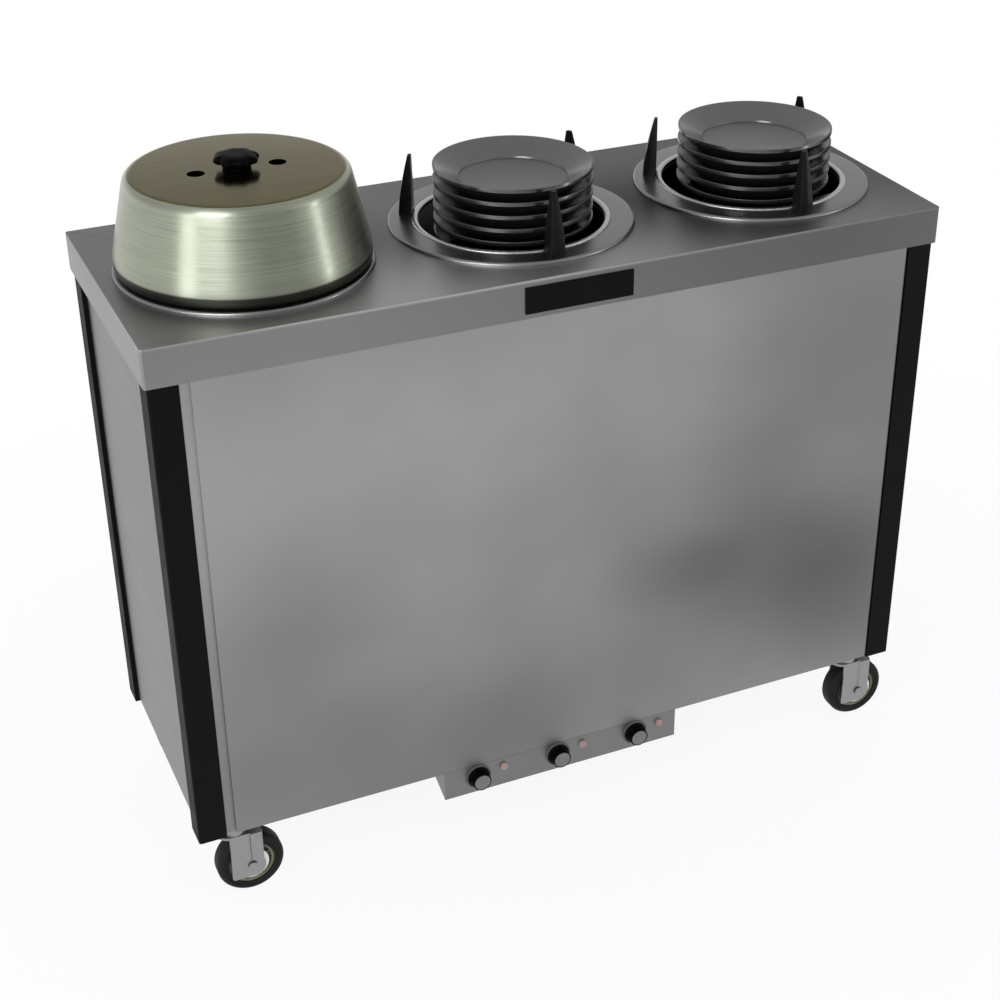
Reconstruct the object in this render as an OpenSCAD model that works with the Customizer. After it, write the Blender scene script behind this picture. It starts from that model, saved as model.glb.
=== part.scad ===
// Mobile heated plate dispenser: a cabinet on casters with three self-levelling wells.
// Millimetres. Z = 0 is the floor, +X is to the right and -Y is the front.

/* [Cabinet] */
// Length of the deck
deck_l = 1190; // [1180:10:1400]
// Width of the deck
deck_w = 433; // [425:1:500]
// Height from the panels' lower edges to the deck's top
body_h = 787; // [760:1:860]
// Height of the deck's skirt
skirt_h = 56; // [50:1:70]
// Thickness of the deck's sheet
deck_t = 1.5; // [1.2:0.1:2]
// Radius of the deck's corners
deck_r = 4; // [2:0.5:8]
// Thickness of the panels
panel_t = 1.5; // [1.2:0.1:2]
// Thickness of the base pan
pan_t = 2; // [1.5:0.1:3]
// How far the front and rear faces lie inside the skirt
panel_in = 2; // [1.8:0.1:4]
// Width of the step between the left front bumper and the front face
reveal_wide = 14; // [8:0.5:20]
// Width of the step at the other side of the front face
reveal_narrow = 5.5; // [4:0.5:10]

/* [Corner bumpers] */
// Width of each bumper's two wings
bumper_w = 41.5; // [34:0.5:46]
// Thickness of the wing on the front or rear
bumper_front_t = 4.5; // [4.5:0.1:6]
// Thickness of the wing on the end
bumper_end_t = 8.5; // [6:0.1:10]
// How far the bumpers lie inside the skirt
bumper_in = 4; // [2:0.5:5]
// How far the bumpers reach below the panels
bumper_drop = 5; // [0:0.5:10]
// Radius of a bumper's outer corner
bumper_r = 4; // [1:0.5:4.5]

/* [Wells] */
// Distance from a deck's end to the nearest well's centre, when the middle well is in the middle
well_in = 198; // [192:1:225]
// How far the middle well lies to the right of the cabinet's middle
well_x = 1.6; // [-4:0.1:4]
// Distance between two rings' edges
ring_apart = 39.4; // [30:0.2:60]
// Distance from a ring's edge to the deck's front or rear edge, where the deck is narrow
ring_side = 37.7; // [36:0.1:50]
// Width of a ring from its outer edge to its silo
ring_flat = 43.8; // [42:0.1:46]
// Wall of a silo
silo_t = 1.2; // [1:0.1:2]
// Height of a ring above the deck
ring_h = 5; // [4:0.5:8]
// Wall of a ring
ring_t = 2; // [1.5:0.1:3]
// Radius of a ring's round outer edge
ring_round = 4; // [2.5:0.1:4]

/* [Plate guides] */
// Distance from the silo's wall to the guides' inner faces
guide_in = 8.5; // [5:0.5:10]
// Height of a guide above its ring
guide_h = 87; // [70:1:100]
// Depth of a guide's foot along the radius
guide_d = 20.5; // [14:0.5:21.5]
// Width of a guide's foot
guide_w = 30; // [20:1:36]
// Width of a guide's tip
guide_tip_w = 9; // [4:0.5:10]
// Depth of a guide's tip
guide_tip_d = 5; // [2:0.5:6]

/* [Plates] */
// Gap between a plate's edge and its silo
plate_gap = 20; // [15:1:45]
// How far a stack lies to the right of its well's centre
stack_x = 3; // [-4:0.5:4]
// Width of a plate's slope, from its flat floor to its edge
plate_slope = 39; // [30:1:50]
// Depth of a plate's floor under its rim
plate_d = 22; // [15:0.5:26]
// Thickness of a plate
plate_t = 4; // [3:0.5:5]
// Distance between two rims in a stack
plate_pitch = 19.3; // [17:0.1:24]
// Plates in each stack
plate_count = 6; // [3:1:7]
// Height of the top rim above the deck
plate_over = 86.5; // [70:1:100]

/* [Carriages] */
// How far a platform's edge lies inside its plates' edges
platform_in = 4; // [2:0.5:20]
// Travel of a carriage
carriage_travel = 320; // [200:1:330]
// Radius of the fixed guide post
post_rod_r = 10; // [8:0.5:12]
// Outer radius of the sleeve on the post
sleeve_r = 16; // [15:0.5:18]
// How far the spring lies inside the middle between its sleeve and the platform's edge
spring_in = 6; // [0:1:15]
// Radius of the spring's wire
wire_r = 2.5; // [2:0.1:3]
// Turns of the spring, with its two end turns
spring_turns = 14; // [8:1:18]

/* [Cover] */
// Height of the cover's top above the deck
cover_top = 136; // [130:1:160]
// Distance from the edge of the cover's flat top to its widest place, along a radius
cover_slope = 36.3; // [33:0.1:43]
// Radius of the rounded shoulder
shoulder_r = 14; // [8:0.5:16]
// How far the cover's widest place lies inside its ring's edge
cover_in = 3.5; // [2:0.1:4.5]
// Radius of the curve that leads the cover's cone into its widest place
belly_r = 90; // [50:5:120]
// Radius of the rim that turns under
rim_r = 12; // [8:0.5:13]
// Wall of the cover
cover_t = 1.2; // [1:0.1:1.5]
// Radius of the cover's two vent holes
vent_r = 12; // [6:0.5:14]
// Distance of a vent hole from the centre
vent_x = 56; // [45:1:90]
// Radius of the lobed knob
lob_r = 31.4; // [26:0.2:36]
// Height of the lobed knob
lob_h = 21; // [18:0.5:30]

/* [Controls] */
// Width of the control box
box_w = 397; // [380:1:450]
// How far the control box hangs below the panels
box_drop = 50; // [48:1:60]
// Depth of the control box
box_depth = 110; // [90:1:150]
// Distance of the box's middle from the cabinet's middle
box_x = -12; // [-30:1:30]
// Distance from a box's end to the nearest knob, when the middle knob is in the middle
knob_in = 64; // [60:0.5:75]
// Distance of the middle knob from the box's middle
knob_x = -8.5; // [-10:0.5:0]
// Depth of the knobs' axes below the panels
knob_drop = 21.5; // [21.5:0.5:24]
// Radius of a knob's skirt
knob_base_r = 18; // [15:0.5:20]
// Radius of a knob's face
knob_face_r = 14.5; // [12:0.5:15]
// How far a knob's face stands out of the box
knob_out = 18; // [14:0.5:25]
// Radius of the dial behind a knob
bezel_r = 21; // [20.5:0.1:21.5]
// Distance of a lamp from its knob
lamp_x = 42.5; // [36:0.5:50]
// Height of a lamp above its knob's axis
lamp_up = 6.5; // [0:0.5:10]
// Radius of a lamp
lamp_r = 6; // [4:0.5:7]

/* [Casters] */
// Diameter of a wheel
wheel_d = 102; // [90:1:110]
// Width of a tyre
tyre_w = 32; // [28:1:36]
// Height of a tyre's section
tyre_h = 16; // [12:1:20]
// Distance of a kingpin from the deck's end
caster_in_x = 63; // [60:1:90]
// Distance of a kingpin from the deck's front or rear edge
caster_in_y = 43; // [43:1:60]
// Distance of a wheel's axle behind its kingpin
trail = 20; // [15:1:30]
// Height from a wheel's top to its fork's crown
crown_gap = 7; // [6:0.5:12]
// Thickness of the fork's legs and crown
fork_t = 4; // [3:0.5:5]
// Height of the swivel race
race_h = 19; // [16:0.5:24]
// Thickness of a caster's top plate
caster_t = 4; // [3:0.5:6]

/* [Hidden] */

// Facets of round shapes
$fn = 96;
// Overrun of every cut
cut = 1;
// Gap where two bodies lie against each other
gap = 0.3;
// Radial clearance of a pin that turns or slides in its bore
fit = 0.06;
// Radial clearance of a part that is only pushed in or through
loose = 0.4;

// Heights over the floor
cab_z = wheel_d + crown_gap + fork_t + race_h + caster_t;
deck_z = cab_z + body_h;
pan_top = cab_z + pan_t;
under_deck = deck_z - deck_t;
ring_top = deck_z + ring_h;
skirt_z = deck_z - skirt_h;
// How far panels and bumpers reach up behind the skirt
panel_lap = 15;
side_top = skirt_z + panel_lap;

// Places in from the deck's edges
post_x = bumper_in + bumper_end_t;
post_y = bumper_in + bumper_front_t;
bumper_end = bumper_in + bumper_w;
post_t = 2;
// Width of a post's legs, past the wide step of the front panel
post_leg = bumper_end + reveal_wide + panel_t - post_y + gap;
// Height of the base pan's inner lips
lip_h = 20;

half_l = deck_l / 2;
half_w = deck_w / 2;
front_y = -half_w + panel_in;

// Wells
well_pitch = half_l - well_in;
ring_r = min(well_pitch - ring_apart, deck_w - 2 * ring_side) / 2;
silo_r = ring_r - ring_flat;
guide_r = silo_r + guide_in;
collar_t = 2;
collar_r = silo_r + silo_t + loose;
collar_drop = 30;
deck_hole_r = collar_r + collar_t + loose;
guide_angles = [150, 30, -90];
guide_steps = 8;
// Slots at a silo's foot that let the heat in
slot_count = 6;
slot_w = 30;
slot_h = 60;

// Plates and carriage
plate_r = silo_r - plate_gap;
plate_floor_r = plate_r - plate_slope;
// Gap that keeps each plate's foot a solid of its own over the plate below
plate_rest = 0.05;
plate_h = plate_d + plate_pitch - plate_rest;
plate_foot_gap = 3;
plate_foot_t = 6;
plate_edge = 1;
platform_r = plate_r - platform_in;
platform_t = 2;
platform_lip = 12;
spring_r = (sleeve_r + platform_r) / 2 - spring_in;
platform_z = deck_z + plate_over - (plate_count - 1) * plate_pitch - plate_h;
platform_under = platform_z - platform_t;
sleeve_t = 3;
bush_h = 40;
post_head_h = 12;
post_flange_in = 18;
post_flange_r = spring_r - post_flange_in;
post_flange_h = 6;
// Free height that a carriage keeps over the base pan at its lowest
floor_room = 6;
sleeve_z = pan_top + post_flange_h + floor_room + carriage_travel;
post_top = sleeve_z + bush_h + gap + post_head_h;

// Cover
cover_z = ring_top + gap;
cover_r = ring_r - cover_in;
cover_flat_r = cover_r - cover_slope;
stud_r = 4;
stud_head_r = 9;
stud_head_h = 5;
stud_in_knob = 12;
lob_count = 8;
lob_round = 7;
lob_neck_r = 19;
lob_neck_h = 9;
lob_dome_r = 24;

// Control box
box_t = 1.5;
box_lip = 4;
bezel_t = 1.5;
spindle_r = 3;
spindle_hole_r = 4;
thermostat_w = 34;
thermostat_d = 28;
thermostat_h = 28;
lamp_out = 4;
lamp_body_r = 7.5;
lamp_body_l = 20;
mark_w = 1.2;
mark_d = 0.6;
knob_pitch = box_w / 2 - knob_in;
knob_z = cab_z - knob_drop;
lamp_z = knob_z + lamp_up;

// Name plate on the skirt, left bare
name_w = 163;
name_h = 38.5;
name_t = 2;
name_x = 8.5;
name_drop = 10;

// Heaters
heater_off = 16;
heater_r = silo_r + silo_t + heater_off;
heater_tube_r = 4;
heater_up = 30;
heater_feet = 3;

// Cord gland on the rear panel
gland_in = 150;
gland_up = 60;
gland_x = half_l - gland_in;
gland_z = cab_z + gland_up;
gland_bore_r = 5;
gland_thread_r = 10;
gland_flange_r = 14;
gland_flange_t = 5;
gland_cap_r = 12;
gland_cap_h = 12;
gland_nut_t = 5;
gland_inside = 9;

// Casters
kingpin_r = 6;
kingpin_head_r = 10;
kingpin_head_h = 3.5;
race_r = 25;
fork_race_r = 22;
caster_plate_l = 84;
caster_plate_w = 68;
caster_bolt_x = 32;
caster_bolt_y = 24;
bolt_r = 4;
bolt_head_r = 6.5;
bolt_head_h = 5;
fork_gap = 3;
fork_half = 27;
fork_foot_r = 20;
fork_heel_r = 5;
fork_heel_x = 17;
pad_t = 1.2;
pad_h = 48;
pad_w = 17;
axle_r = 5;
axle_head_r = 7;
axle_head_h = 2.5;
hub_boss_r = 12;
hub_web_t = 10;
hub_rim_t = 5;
tyre_round = 6;
hub_bore_r = axle_r + fit;
wheel_r = wheel_d / 2;
rim_out_r = wheel_r - tyre_h;
crown_z = wheel_d + crown_gap;
race_z = crown_z + fork_t + race_h / 2;

// The floor's point under the middle of the whole object is the origin
x_low = -half_l;
x_high = max(half_l, half_l - caster_in_x + trail + wheel_r);
y_low = front_y - knob_out;
y_high = half_w - panel_in + gland_flange_t + gland_cap_h;
origin_x = (x_low + x_high) / 2;
origin_y = (y_low + y_high) / 2;

module place() { translate([-origin_x, -origin_y, 0]) children(); }
module in_well(i) { translate([well_x + (i - 1) * well_pitch, 0, 0]) children(); }

// A box from its low corner and its high corner
module span(low, high) { translate(low) cube(high - low); }

// A rectangle with round corners, about its middle
module rounded(l, w, r) {
    square([l - 2 * r, w], center = true);
    square([l, w - 2 * r], center = true);
    for (x = [-1, 1], y = [-1, 1]) translate([x * (l / 2 - r), y * (w / 2 - r)]) circle(r);
}

arc_steps = 10;
// Points of an arc about a middle, from one angle to another
function arc(x, z, r, a, b) = [for (k = [0:arc_steps]) let (c = a + (b - a) * k / arc_steps)
    [x + r * cos(c), z + r * sin(c)]];

// Copies at the four corners, turned so that a corner's own outside is at -X and -Y
module corners() { for (x = [0, 1], y = [0, 1]) mirror([x, 0, 0]) mirror([0, y, 0]) children(); }

// Cabinet

module deck() {
    color("gray") place() difference() {
        translate([0, 0, skirt_z]) linear_extrude(skirt_h) rounded(deck_l, deck_w, deck_r);
        translate([0, 0, skirt_z - cut]) linear_extrude(skirt_h - deck_t + cut)
            rounded(deck_l - 2 * deck_t, deck_w - 2 * deck_t, deck_r - deck_t);
        for (i = [0:2]) in_well(i) translate([0, 0, skirt_z]) cylinder(skirt_h + cut, r = deck_hole_r);
    }
}

// A front or rear panel: a face that stands out between two stepped edges
module stepped_panel() {
    face_l = -half_l + bumper_end + reveal_wide;
    face_r = half_l - bumper_end - reveal_narrow;
    step_y = -half_w + post_y;
    translate([0, 0, cab_z]) linear_extrude(side_top - cab_z) {
        translate([face_l, front_y]) square([face_r - face_l, panel_t]);
        for (x = [face_l, face_r - panel_t]) translate([x, front_y]) square([panel_t, step_y - front_y]);
        translate([-half_l + bumper_end + gap, step_y - panel_t])
            square([reveal_wide - gap + panel_t, panel_t]);
        translate([face_r - panel_t, step_y - panel_t])
            square([reveal_narrow - gap + panel_t, panel_t]);
    }
    // The lower edge is turned in under the base pan's edge
    span([face_l, front_y, cab_z], [face_r, step_y, cab_z + panel_t]);
}

module front_panel() { color("darkgray") place() stepped_panel(); }

module rear_panel() {
    color("darkgray") place() difference() {
        rotate([0, 0, 180]) stepped_panel();
        translate([gland_x, half_w - panel_in + cut, gland_z]) rotate([90, 0, 0])
            cylinder(panel_t + 2 * cut, r = gland_thread_r + fit);
    }
}

module end_panel() {
    span([-half_l + post_x - panel_t, -half_w + bumper_end + gap, cab_z],
         [-half_l + post_x, half_w - bumper_end - gap, side_top]);
}
module left_end_panel() { color("silver") place() end_panel(); }
module right_end_panel() { color("silver") place() mirror([1, 0, 0]) end_panel(); }

module base_pan() {
    lip_x = half_l - post_y - post_leg - panel_t;
    lip_y = half_w - post_y - post_leg - panel_t;
    color("gray") place() difference() {
        union() {
            span([-half_l + post_x, -half_w + post_y, cab_z], [half_l - post_x, half_w - post_y, pan_top]);
            for (s = [0, 1]) {
                mirror([0, s, 0]) span([-lip_x, -half_w + post_y, cab_z],
                                       [lip_x, -half_w + post_y + pan_t, pan_top + lip_h]);
                mirror([s, 0, 0]) span([-half_l + post_x, -lip_y, cab_z],
                                       [-half_l + post_x + pan_t, lip_y, pan_top + lip_h]);
            }
        }
        at_bolts() translate([0, 0, cab_z - cut]) cylinder(pan_t + 2 * cut, r = bolt_r + loose);
    }
}

module corner_posts() {
    color("gray") place() corners() translate([0, 0, pan_top]) linear_extrude(under_deck - pan_top) {
        translate([-half_l + post_x, -half_w + post_y]) square([post_leg - post_x + post_y, post_t]);
        translate([-half_l + post_x, -half_w + post_y]) square([post_t, post_leg]);
    }
}

module corner_bumpers() {
    foot = cab_z - bumper_drop;
    color([0.1, 0.1, 0.1]) place() corners() translate([-half_l + bumper_in, -half_w + bumper_in, foot])
        linear_extrude(side_top - foot) {
            translate([bumper_r, 0]) square([bumper_w - bumper_r, bumper_front_t]);
            translate([0, bumper_r]) square([bumper_end_t, bumper_w - bumper_r]);
            translate([bumper_r, bumper_r]) circle(bumper_r);
        }
}

module name_plate() {
    color([0.1, 0.1, 0.1]) place()
        translate([name_x - name_w / 2, -half_w - name_t, deck_z - name_drop - name_h])
            cube([name_w, name_t, name_h]);
}

// Wells

module silo(i) {
    color("silver") place() in_well(i) difference() {
        translate([0, 0, pan_top]) cylinder(deck_z - pan_top, r = silo_r + silo_t);
        translate([0, 0, pan_top - cut]) cylinder(deck_z - pan_top + 2 * cut, r = silo_r);
        for (a = [0:slot_count - 1]) rotate([0, 0, (a + 0.5) * 360 / slot_count])
            translate([silo_r / 2, -slot_w / 2, pan_top + slot_h / 2]) cube([silo_r, slot_w, slot_h]);
    }
}

// A pressed ring: a flat flange with a turned lip outside and a collar round the silo inside
module well_ring(i) {
    bend_r = ring_r - ring_round;
    bend_z = ring_top - ring_round;
    color("silver") place() in_well(i) rotate_extrude() polygon(concat(
        [[silo_r, ring_top]], arc(bend_r, bend_z, ring_round, 90, 0),
        [[ring_r, deck_z], [ring_r - ring_t, deck_z]], arc(bend_r, bend_z, ring_round - ring_t, 0, 90),
        [[collar_r + collar_t, ring_top - ring_t], [collar_r + collar_t, deck_z - collar_drop],
         [collar_r, deck_z - collar_drop], [collar_r, deck_z], [silo_r, deck_z]]
    ));
}

// A guide's outline at a level: its flat inner face, and an outer face with a low ridge up its middle.
// The outer face's half width is a share of the guide's width, and its edges' depth one of its depth.
guide_face_share = 0.36;
guide_edge_share = 0.92;
function guide_level(k) = let (t = k / guide_steps, s = 1 - pow(t, 1.5), z = ring_top + t * guide_h)
    let (d = guide_tip_d + (guide_d - guide_tip_d) * s, w = guide_tip_w + (guide_w - guide_tip_w) * s)
    let (edge_r = guide_r + d * guide_edge_share, edge_y = w * guide_face_share)
    [[guide_r, -w / 2, z], [edge_r, -edge_y, z], [guide_r + d, 0, z],
     [edge_r, edge_y, z], [guide_r, w / 2, z]];

module plate_guide() {
    m = len(guide_level(0));
    n = m * guide_steps;
    points = [for (k = [0:guide_steps]) each guide_level(k)];
    sides = [for (k = [0:guide_steps - 1], j = [0:m - 1]) let (a = m * k + j, b = m * k + (j + 1) % m)
        each [[a, a + m, b], [b, a + m, b + m]]];
    start = [for (j = [0:m - 1]) j];
    end = [for (j = [m - 1:-1:0]) n + j];
    polyhedron(points, concat([start], sides, [end]));
}

module plate_guides(i) {
    color([0.12, 0.12, 0.12]) place() in_well(i) for (a = guide_angles) rotate([0, 0, a]) plate_guide();
}

// Carriages

module guide_posts() {
    color("silver") place() for (i = [0:2]) in_well(i) translate([0, 0, pan_top]) {
        cylinder(post_flange_h, r = post_flange_r);
        cylinder(post_top - pan_top, r = post_rod_r);
        translate([0, 0, post_top - pan_top - post_head_h])
            cylinder(post_head_h, r = sleeve_r - sleeve_t - loose);
    }
}

module carriage(i) {
    color("silver") place() in_well(i) rotate_extrude() polygon([
        [0, platform_z], [platform_r, platform_z], [platform_r, platform_z - platform_lip],
        [platform_r - platform_t, platform_z - platform_lip], [platform_r - platform_t, platform_under],
        [sleeve_r, platform_under], [sleeve_r, sleeve_z], [post_rod_r + fit, sleeve_z],
        [post_rod_r + fit, sleeve_z + bush_h], [sleeve_r - sleeve_t, sleeve_z + bush_h],
        [sleeve_r - sleeve_t, platform_under], [0, platform_under]
    ]);
}

// Places along a spring: an end turn lies close at each end, and the turns between share the rest
end_gap = 1;
spring_low = pan_top + gap + wire_r;
spring_high = platform_under - gap - wire_r;
end_rise = 2 * wire_r + end_gap;
turn_rise = (spring_high - spring_low - 2 * end_rise) / (spring_turns - 2);
spring_rings = 8;
spring_sides = 6;
function spring_z(t) = t < 1 ? spring_low + t * end_rise
    : t > spring_turns - 1 ? spring_high - (spring_turns - t) * end_rise
    : spring_low + end_rise + (t - 1) * turn_rise;
function spring_ring(k) = let (a = 360 * k / spring_rings, z = spring_z(k / spring_rings))
    [for (j = [0:spring_sides - 1]) let (b = 360 * j / spring_sides, r = spring_r + wire_r * cos(b))
        [r * cos(a), r * sin(a), z + wire_r * sin(b)]];
// Least distance from a point on the wire to any point of the turn above it
function ring_gap(a, b) = min([for (p = a, q = b) norm(p - q)]);
spring_gap = min([for (k = [0:spring_rings * (spring_turns - 1)])
    ring_gap(spring_ring(k), spring_ring(k + spring_rings))]);

module spring(i) {
    last = spring_turns * spring_rings;
    m = spring_sides;
    points = [for (k = [0:last]) each spring_ring(k)];
    sides = [for (k = [0:last - 1], j = [0:m - 1]) let (a = m * k + j, b = m * k + (j + 1) % m)
        each [[a, a + m, b], [b, a + m, b + m]]];
    start = [for (j = [0:m - 1]) j];
    end = [for (j = [m - 1:-1:0]) m * last + j];
    echo(least_gap_to_itself = spring_gap);
    color("gray") place() in_well(i) polyhedron(points, concat([start], sides, [end]));
}

module plates(i) {
    foot_r = plate_floor_r - plate_foot_gap;
    color([0.3, 0.3, 0.3]) place() in_well(i) for (k = [0:plate_count - 1])
        translate([stack_x, 0, platform_z + plate_h + k * plate_pitch]) rotate_extrude() polygon([
            [0, -plate_d], [plate_floor_r, -plate_d], [plate_r - 2 * plate_edge, -plate_edge / 2],
            [plate_r - plate_edge, 0], [plate_r, -plate_edge], [plate_r, -plate_t],
            [foot_r, -plate_h], [foot_r - plate_foot_t, -plate_h],
            [foot_r - plate_foot_t, -plate_d - plate_t], [0, -plate_d - plate_t]
        ]);
}

// Cover

// Angle from straight down at which the turned rim ends
rim_end = 25;
shoulder_z = deck_z + cover_top - shoulder_r;
rim_z = cover_z + rim_r * cos(rim_end);
// The side is a cone that leaves the shoulder smoothly and runs into the belly's arc
cone_x = cover_r - belly_r - cover_flat_r;
cone_z = shoulder_z - rim_z;
cone_a = atan2(cone_x, cone_z) - asin((shoulder_r - belly_r) / norm([cone_x, cone_z]));
// The cover's wall, set in by a depth: top, shoulder, side and the rim that turns under
function wall(depth) = concat(
    [[0, deck_z + cover_top - depth]],
    arc(cover_flat_r, shoulder_z, shoulder_r - depth, 90, cone_a),
    arc(cover_r - belly_r, rim_z, belly_r - depth, cone_a, 0),
    arc(cover_r - rim_r, rim_z, rim_r - depth, -rim_end / 2, rim_end - 90)
);
function backwards(list) = [for (k = [len(list) - 1:-1:0]) list[k]];

module cover_shell() {
    color([0.62, 0.64, 0.56]) place() in_well(0) difference() {
        rotate_extrude() polygon(concat(wall(0), backwards(wall(cover_t))));
        translate([0, 0, deck_z + cover_top - cover_t - cut]) {
            for (x = [-vent_x, vent_x]) translate([x, 0, 0]) cylinder(cover_t + 2 * cut, r = vent_r);
            cylinder(cover_t + 2 * cut, r = stud_r + loose);
        }
    }
}

module cover_knob() {
    color([0.08, 0.08, 0.08]) place() in_well(0) translate([0, 0, deck_z + cover_top]) difference() {
        union() {
            cylinder(lob_neck_h, r1 = lob_neck_r, r2 = lob_neck_r + 2 * cover_t);
            intersection() {
                translate([0, 0, lob_neck_h]) linear_extrude(lob_h - lob_neck_h) {
                    circle(lob_r - lob_round);
                    for (a = [0:lob_count - 1]) rotate(a * 360 / lob_count)
                        translate([lob_r - lob_round, 0]) circle(lob_round);
                }
                rotate_extrude() polygon([
                    [0, lob_neck_h], [lob_neck_r, lob_neck_h], [lob_r, lob_neck_h + lob_round / 2],
                    [lob_r, lob_h - lob_round], [lob_dome_r, lob_h - lob_round / 4], [0, lob_h]
                ]);
            }
        }
        translate([0, 0, -cut]) cylinder(stud_in_knob + cut, r = stud_r + fit);
    }
}

module cover_stud() {
    color("gray") place() in_well(0) translate([0, 0, deck_z + cover_top - cover_t]) {
        cylinder(cover_t + stud_in_knob - gap, r = stud_r);
        translate([0, 0, -stud_head_h]) cylinder(stud_head_h, r = stud_head_r);
    }
}

// Controls

// Height of the box's sloping underside at a distance behind its front
function box_under(y) = cab_z - box_drop + y * (box_drop - box_lip) / box_depth;

module at_knob(i) {
    translate([box_x + knob_x + (i - 1) * knob_pitch, front_y, knob_z]) rotate([90, 0, 0]) children();
}
module at_lamps() { for (i = [0:2]) at_knob(i) translate([lamp_x, lamp_up, 0]) children(); }

module control_box() {
    color("gray") place() difference() {
        translate([box_x - box_w / 2, 0, 0]) {
            span([0, front_y, box_under(0)], [box_w, front_y + box_t, cab_z]);
            span([0, front_y + box_depth - box_t, box_under(box_depth)],
                 [box_w, front_y + box_depth, cab_z]);
            for (x = [0, box_w - box_t]) translate([x, 0, 0]) rotate([90, 0, 90]) linear_extrude(box_t)
                polygon([[front_y, box_under(0)], [front_y + box_depth, box_under(box_depth)],
                         [front_y + box_depth, cab_z], [front_y, cab_z]]);
        }
        for (i = [0:2]) at_knob(i) translate([0, 0, -box_t - cut])
            cylinder(box_t + 2 * cut, r = spindle_hole_r);
        at_lamps() translate([0, 0, -box_t - cut]) cylinder(box_t + 2 * cut, r = lamp_r + fit);
    }
}

module control_box_cover() {
    low = box_t + gap;
    high = box_depth - box_t - gap;
    color("gray") place() translate([box_x - box_w / 2 + box_t + gap, front_y, 0]) rotate([90, 0, 90])
        linear_extrude(box_w - 2 * box_t - 2 * gap)
            polygon([[low, box_under(low)], [high, box_under(high)], [high, box_under(high) + box_t],
                     [low, box_under(low) + box_t]]);
}

module dial_bezels() {
    color([0.3, 0.3, 0.3]) place() for (i = [0:2]) at_knob(i) difference() {
        cylinder(bezel_t, r = bezel_r);
        translate([0, 0, -cut]) cylinder(bezel_t + 2 * cut, r = spindle_hole_r);
    }
}

module thermostats() {
    color("tan") place() for (i = [0:2]) at_knob(i) difference() {
        translate([-thermostat_w / 2, -thermostat_h / 2, -box_t - thermostat_d])
            cube([thermostat_w, thermostat_h, thermostat_d]);
        translate([0, 0, -box_t - thermostat_d / 2]) cylinder(thermostat_d, r = spindle_r + fit);
    }
}

module control_knob(i) {
    color([0.15, 0.15, 0.15]) place() at_knob(i) difference() {
        union() {
            translate([0, 0, bezel_t + gap])
                cylinder(knob_out - bezel_t - gap, r1 = knob_base_r, r2 = knob_face_r);
            translate([0, 0, gap - box_t - thermostat_d / 2])
                cylinder(box_t + thermostat_d / 2 + bezel_t + gap, r = spindle_r);
        }
        translate([-mark_w / 2, knob_face_r / 3, knob_out - mark_d])
            cube([mark_w, knob_face_r, mark_d + cut]);
    }
}

module lamps() {
    color([0.85, 0.5, 0.5]) place() at_lamps() {
        translate([0, 0, -box_t]) cylinder(box_t + lamp_out, r = lamp_r);
        translate([0, 0, -box_t - lamp_body_l]) cylinder(lamp_body_l, r = lamp_body_r);
    }
}

module heaters() {
    color([0.4, 0.35, 0.3]) place() for (i = [0:2]) in_well(i) translate([0, 0, pan_top]) {
        translate([0, 0, heater_up]) rotate_extrude() translate([heater_r, 0]) circle(heater_tube_r);
        for (a = [0:heater_feet - 1]) rotate([0, 0, a * 360 / heater_feet])
            translate([heater_r, 0, 0]) cylinder(heater_up, r = heater_tube_r);
    }
}

module cord_gland() {
    inner = gland_inside + panel_t;
    color([0.15, 0.15, 0.15]) place() translate([gland_x, half_w - panel_in, gland_z])
        rotate([-90, 0, 0]) difference() {
            union() {
                cylinder(gland_flange_t, r = gland_flange_r);
                cylinder(gland_flange_t + gland_cap_h, r = gland_cap_r);
                translate([0, 0, -inner]) cylinder(inner, r = gland_thread_r);
                translate([0, 0, -panel_t - gland_nut_t]) cylinder(gland_nut_t, r = gland_flange_r);
            }
            translate([0, 0, -inner - cut])
                cylinder(inner + gland_flange_t + gland_cap_h + 2 * cut, r = gland_bore_r);
        }
}

// Casters

// The left pair and the right pair trail alike, to +X
function caster_at(i) = [(i % 2 == 0 ? -1 : 1) * (half_l - caster_in_x),
                         (i < 2 ? -1 : 1) * (half_w - caster_in_y), 0];
module at_caster(i) { translate(caster_at(i)) children(); }
module at_wheel(i) { at_caster(i) translate([trail, 0, wheel_r]) rotate([90, 0, 0]) children(); }
module at_bolts() {
    for (i = [0:3], x = [-1, 1], y = [-1, 1])
        at_caster(i) translate([x * caster_bolt_x, y * caster_bolt_y, 0]) children();
}

module caster_plates() {
    plate_z = cab_z - caster_t;
    pin_z = crown_z - gap - kingpin_head_h;
    color("silver") place() difference() {
        for (i = [0:3]) at_caster(i) {
            translate([0, 0, plate_z]) linear_extrude(caster_t)
                rounded(caster_plate_l, caster_plate_w, bolt_head_r);
            translate([0, 0, race_z + gap]) cylinder(plate_z - race_z - gap, r = race_r);
            translate([0, 0, pin_z]) cylinder(plate_z - pin_z, r = kingpin_r);
            translate([0, 0, pin_z]) cylinder(kingpin_head_h, r = kingpin_head_r);
        }
        at_bolts() translate([0, 0, plate_z - cut]) cylinder(caster_t + 2 * cut, r = bolt_r + loose);
    }
}

module caster_bolts() {
    plate_z = cab_z - caster_t;
    color("silver") place() at_bolts() {
        translate([0, 0, plate_z - bolt_head_h]) cylinder(bolt_head_h, r = bolt_head_r, $fn = 6);
        translate([0, 0, plate_z - bolt_head_h]) cylinder(pan_top - plate_z + 2 * bolt_head_h, r = bolt_r);
        translate([0, 0, pan_top]) cylinder(bolt_head_h, r = bolt_head_r, $fn = 6);
    }
}

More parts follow.
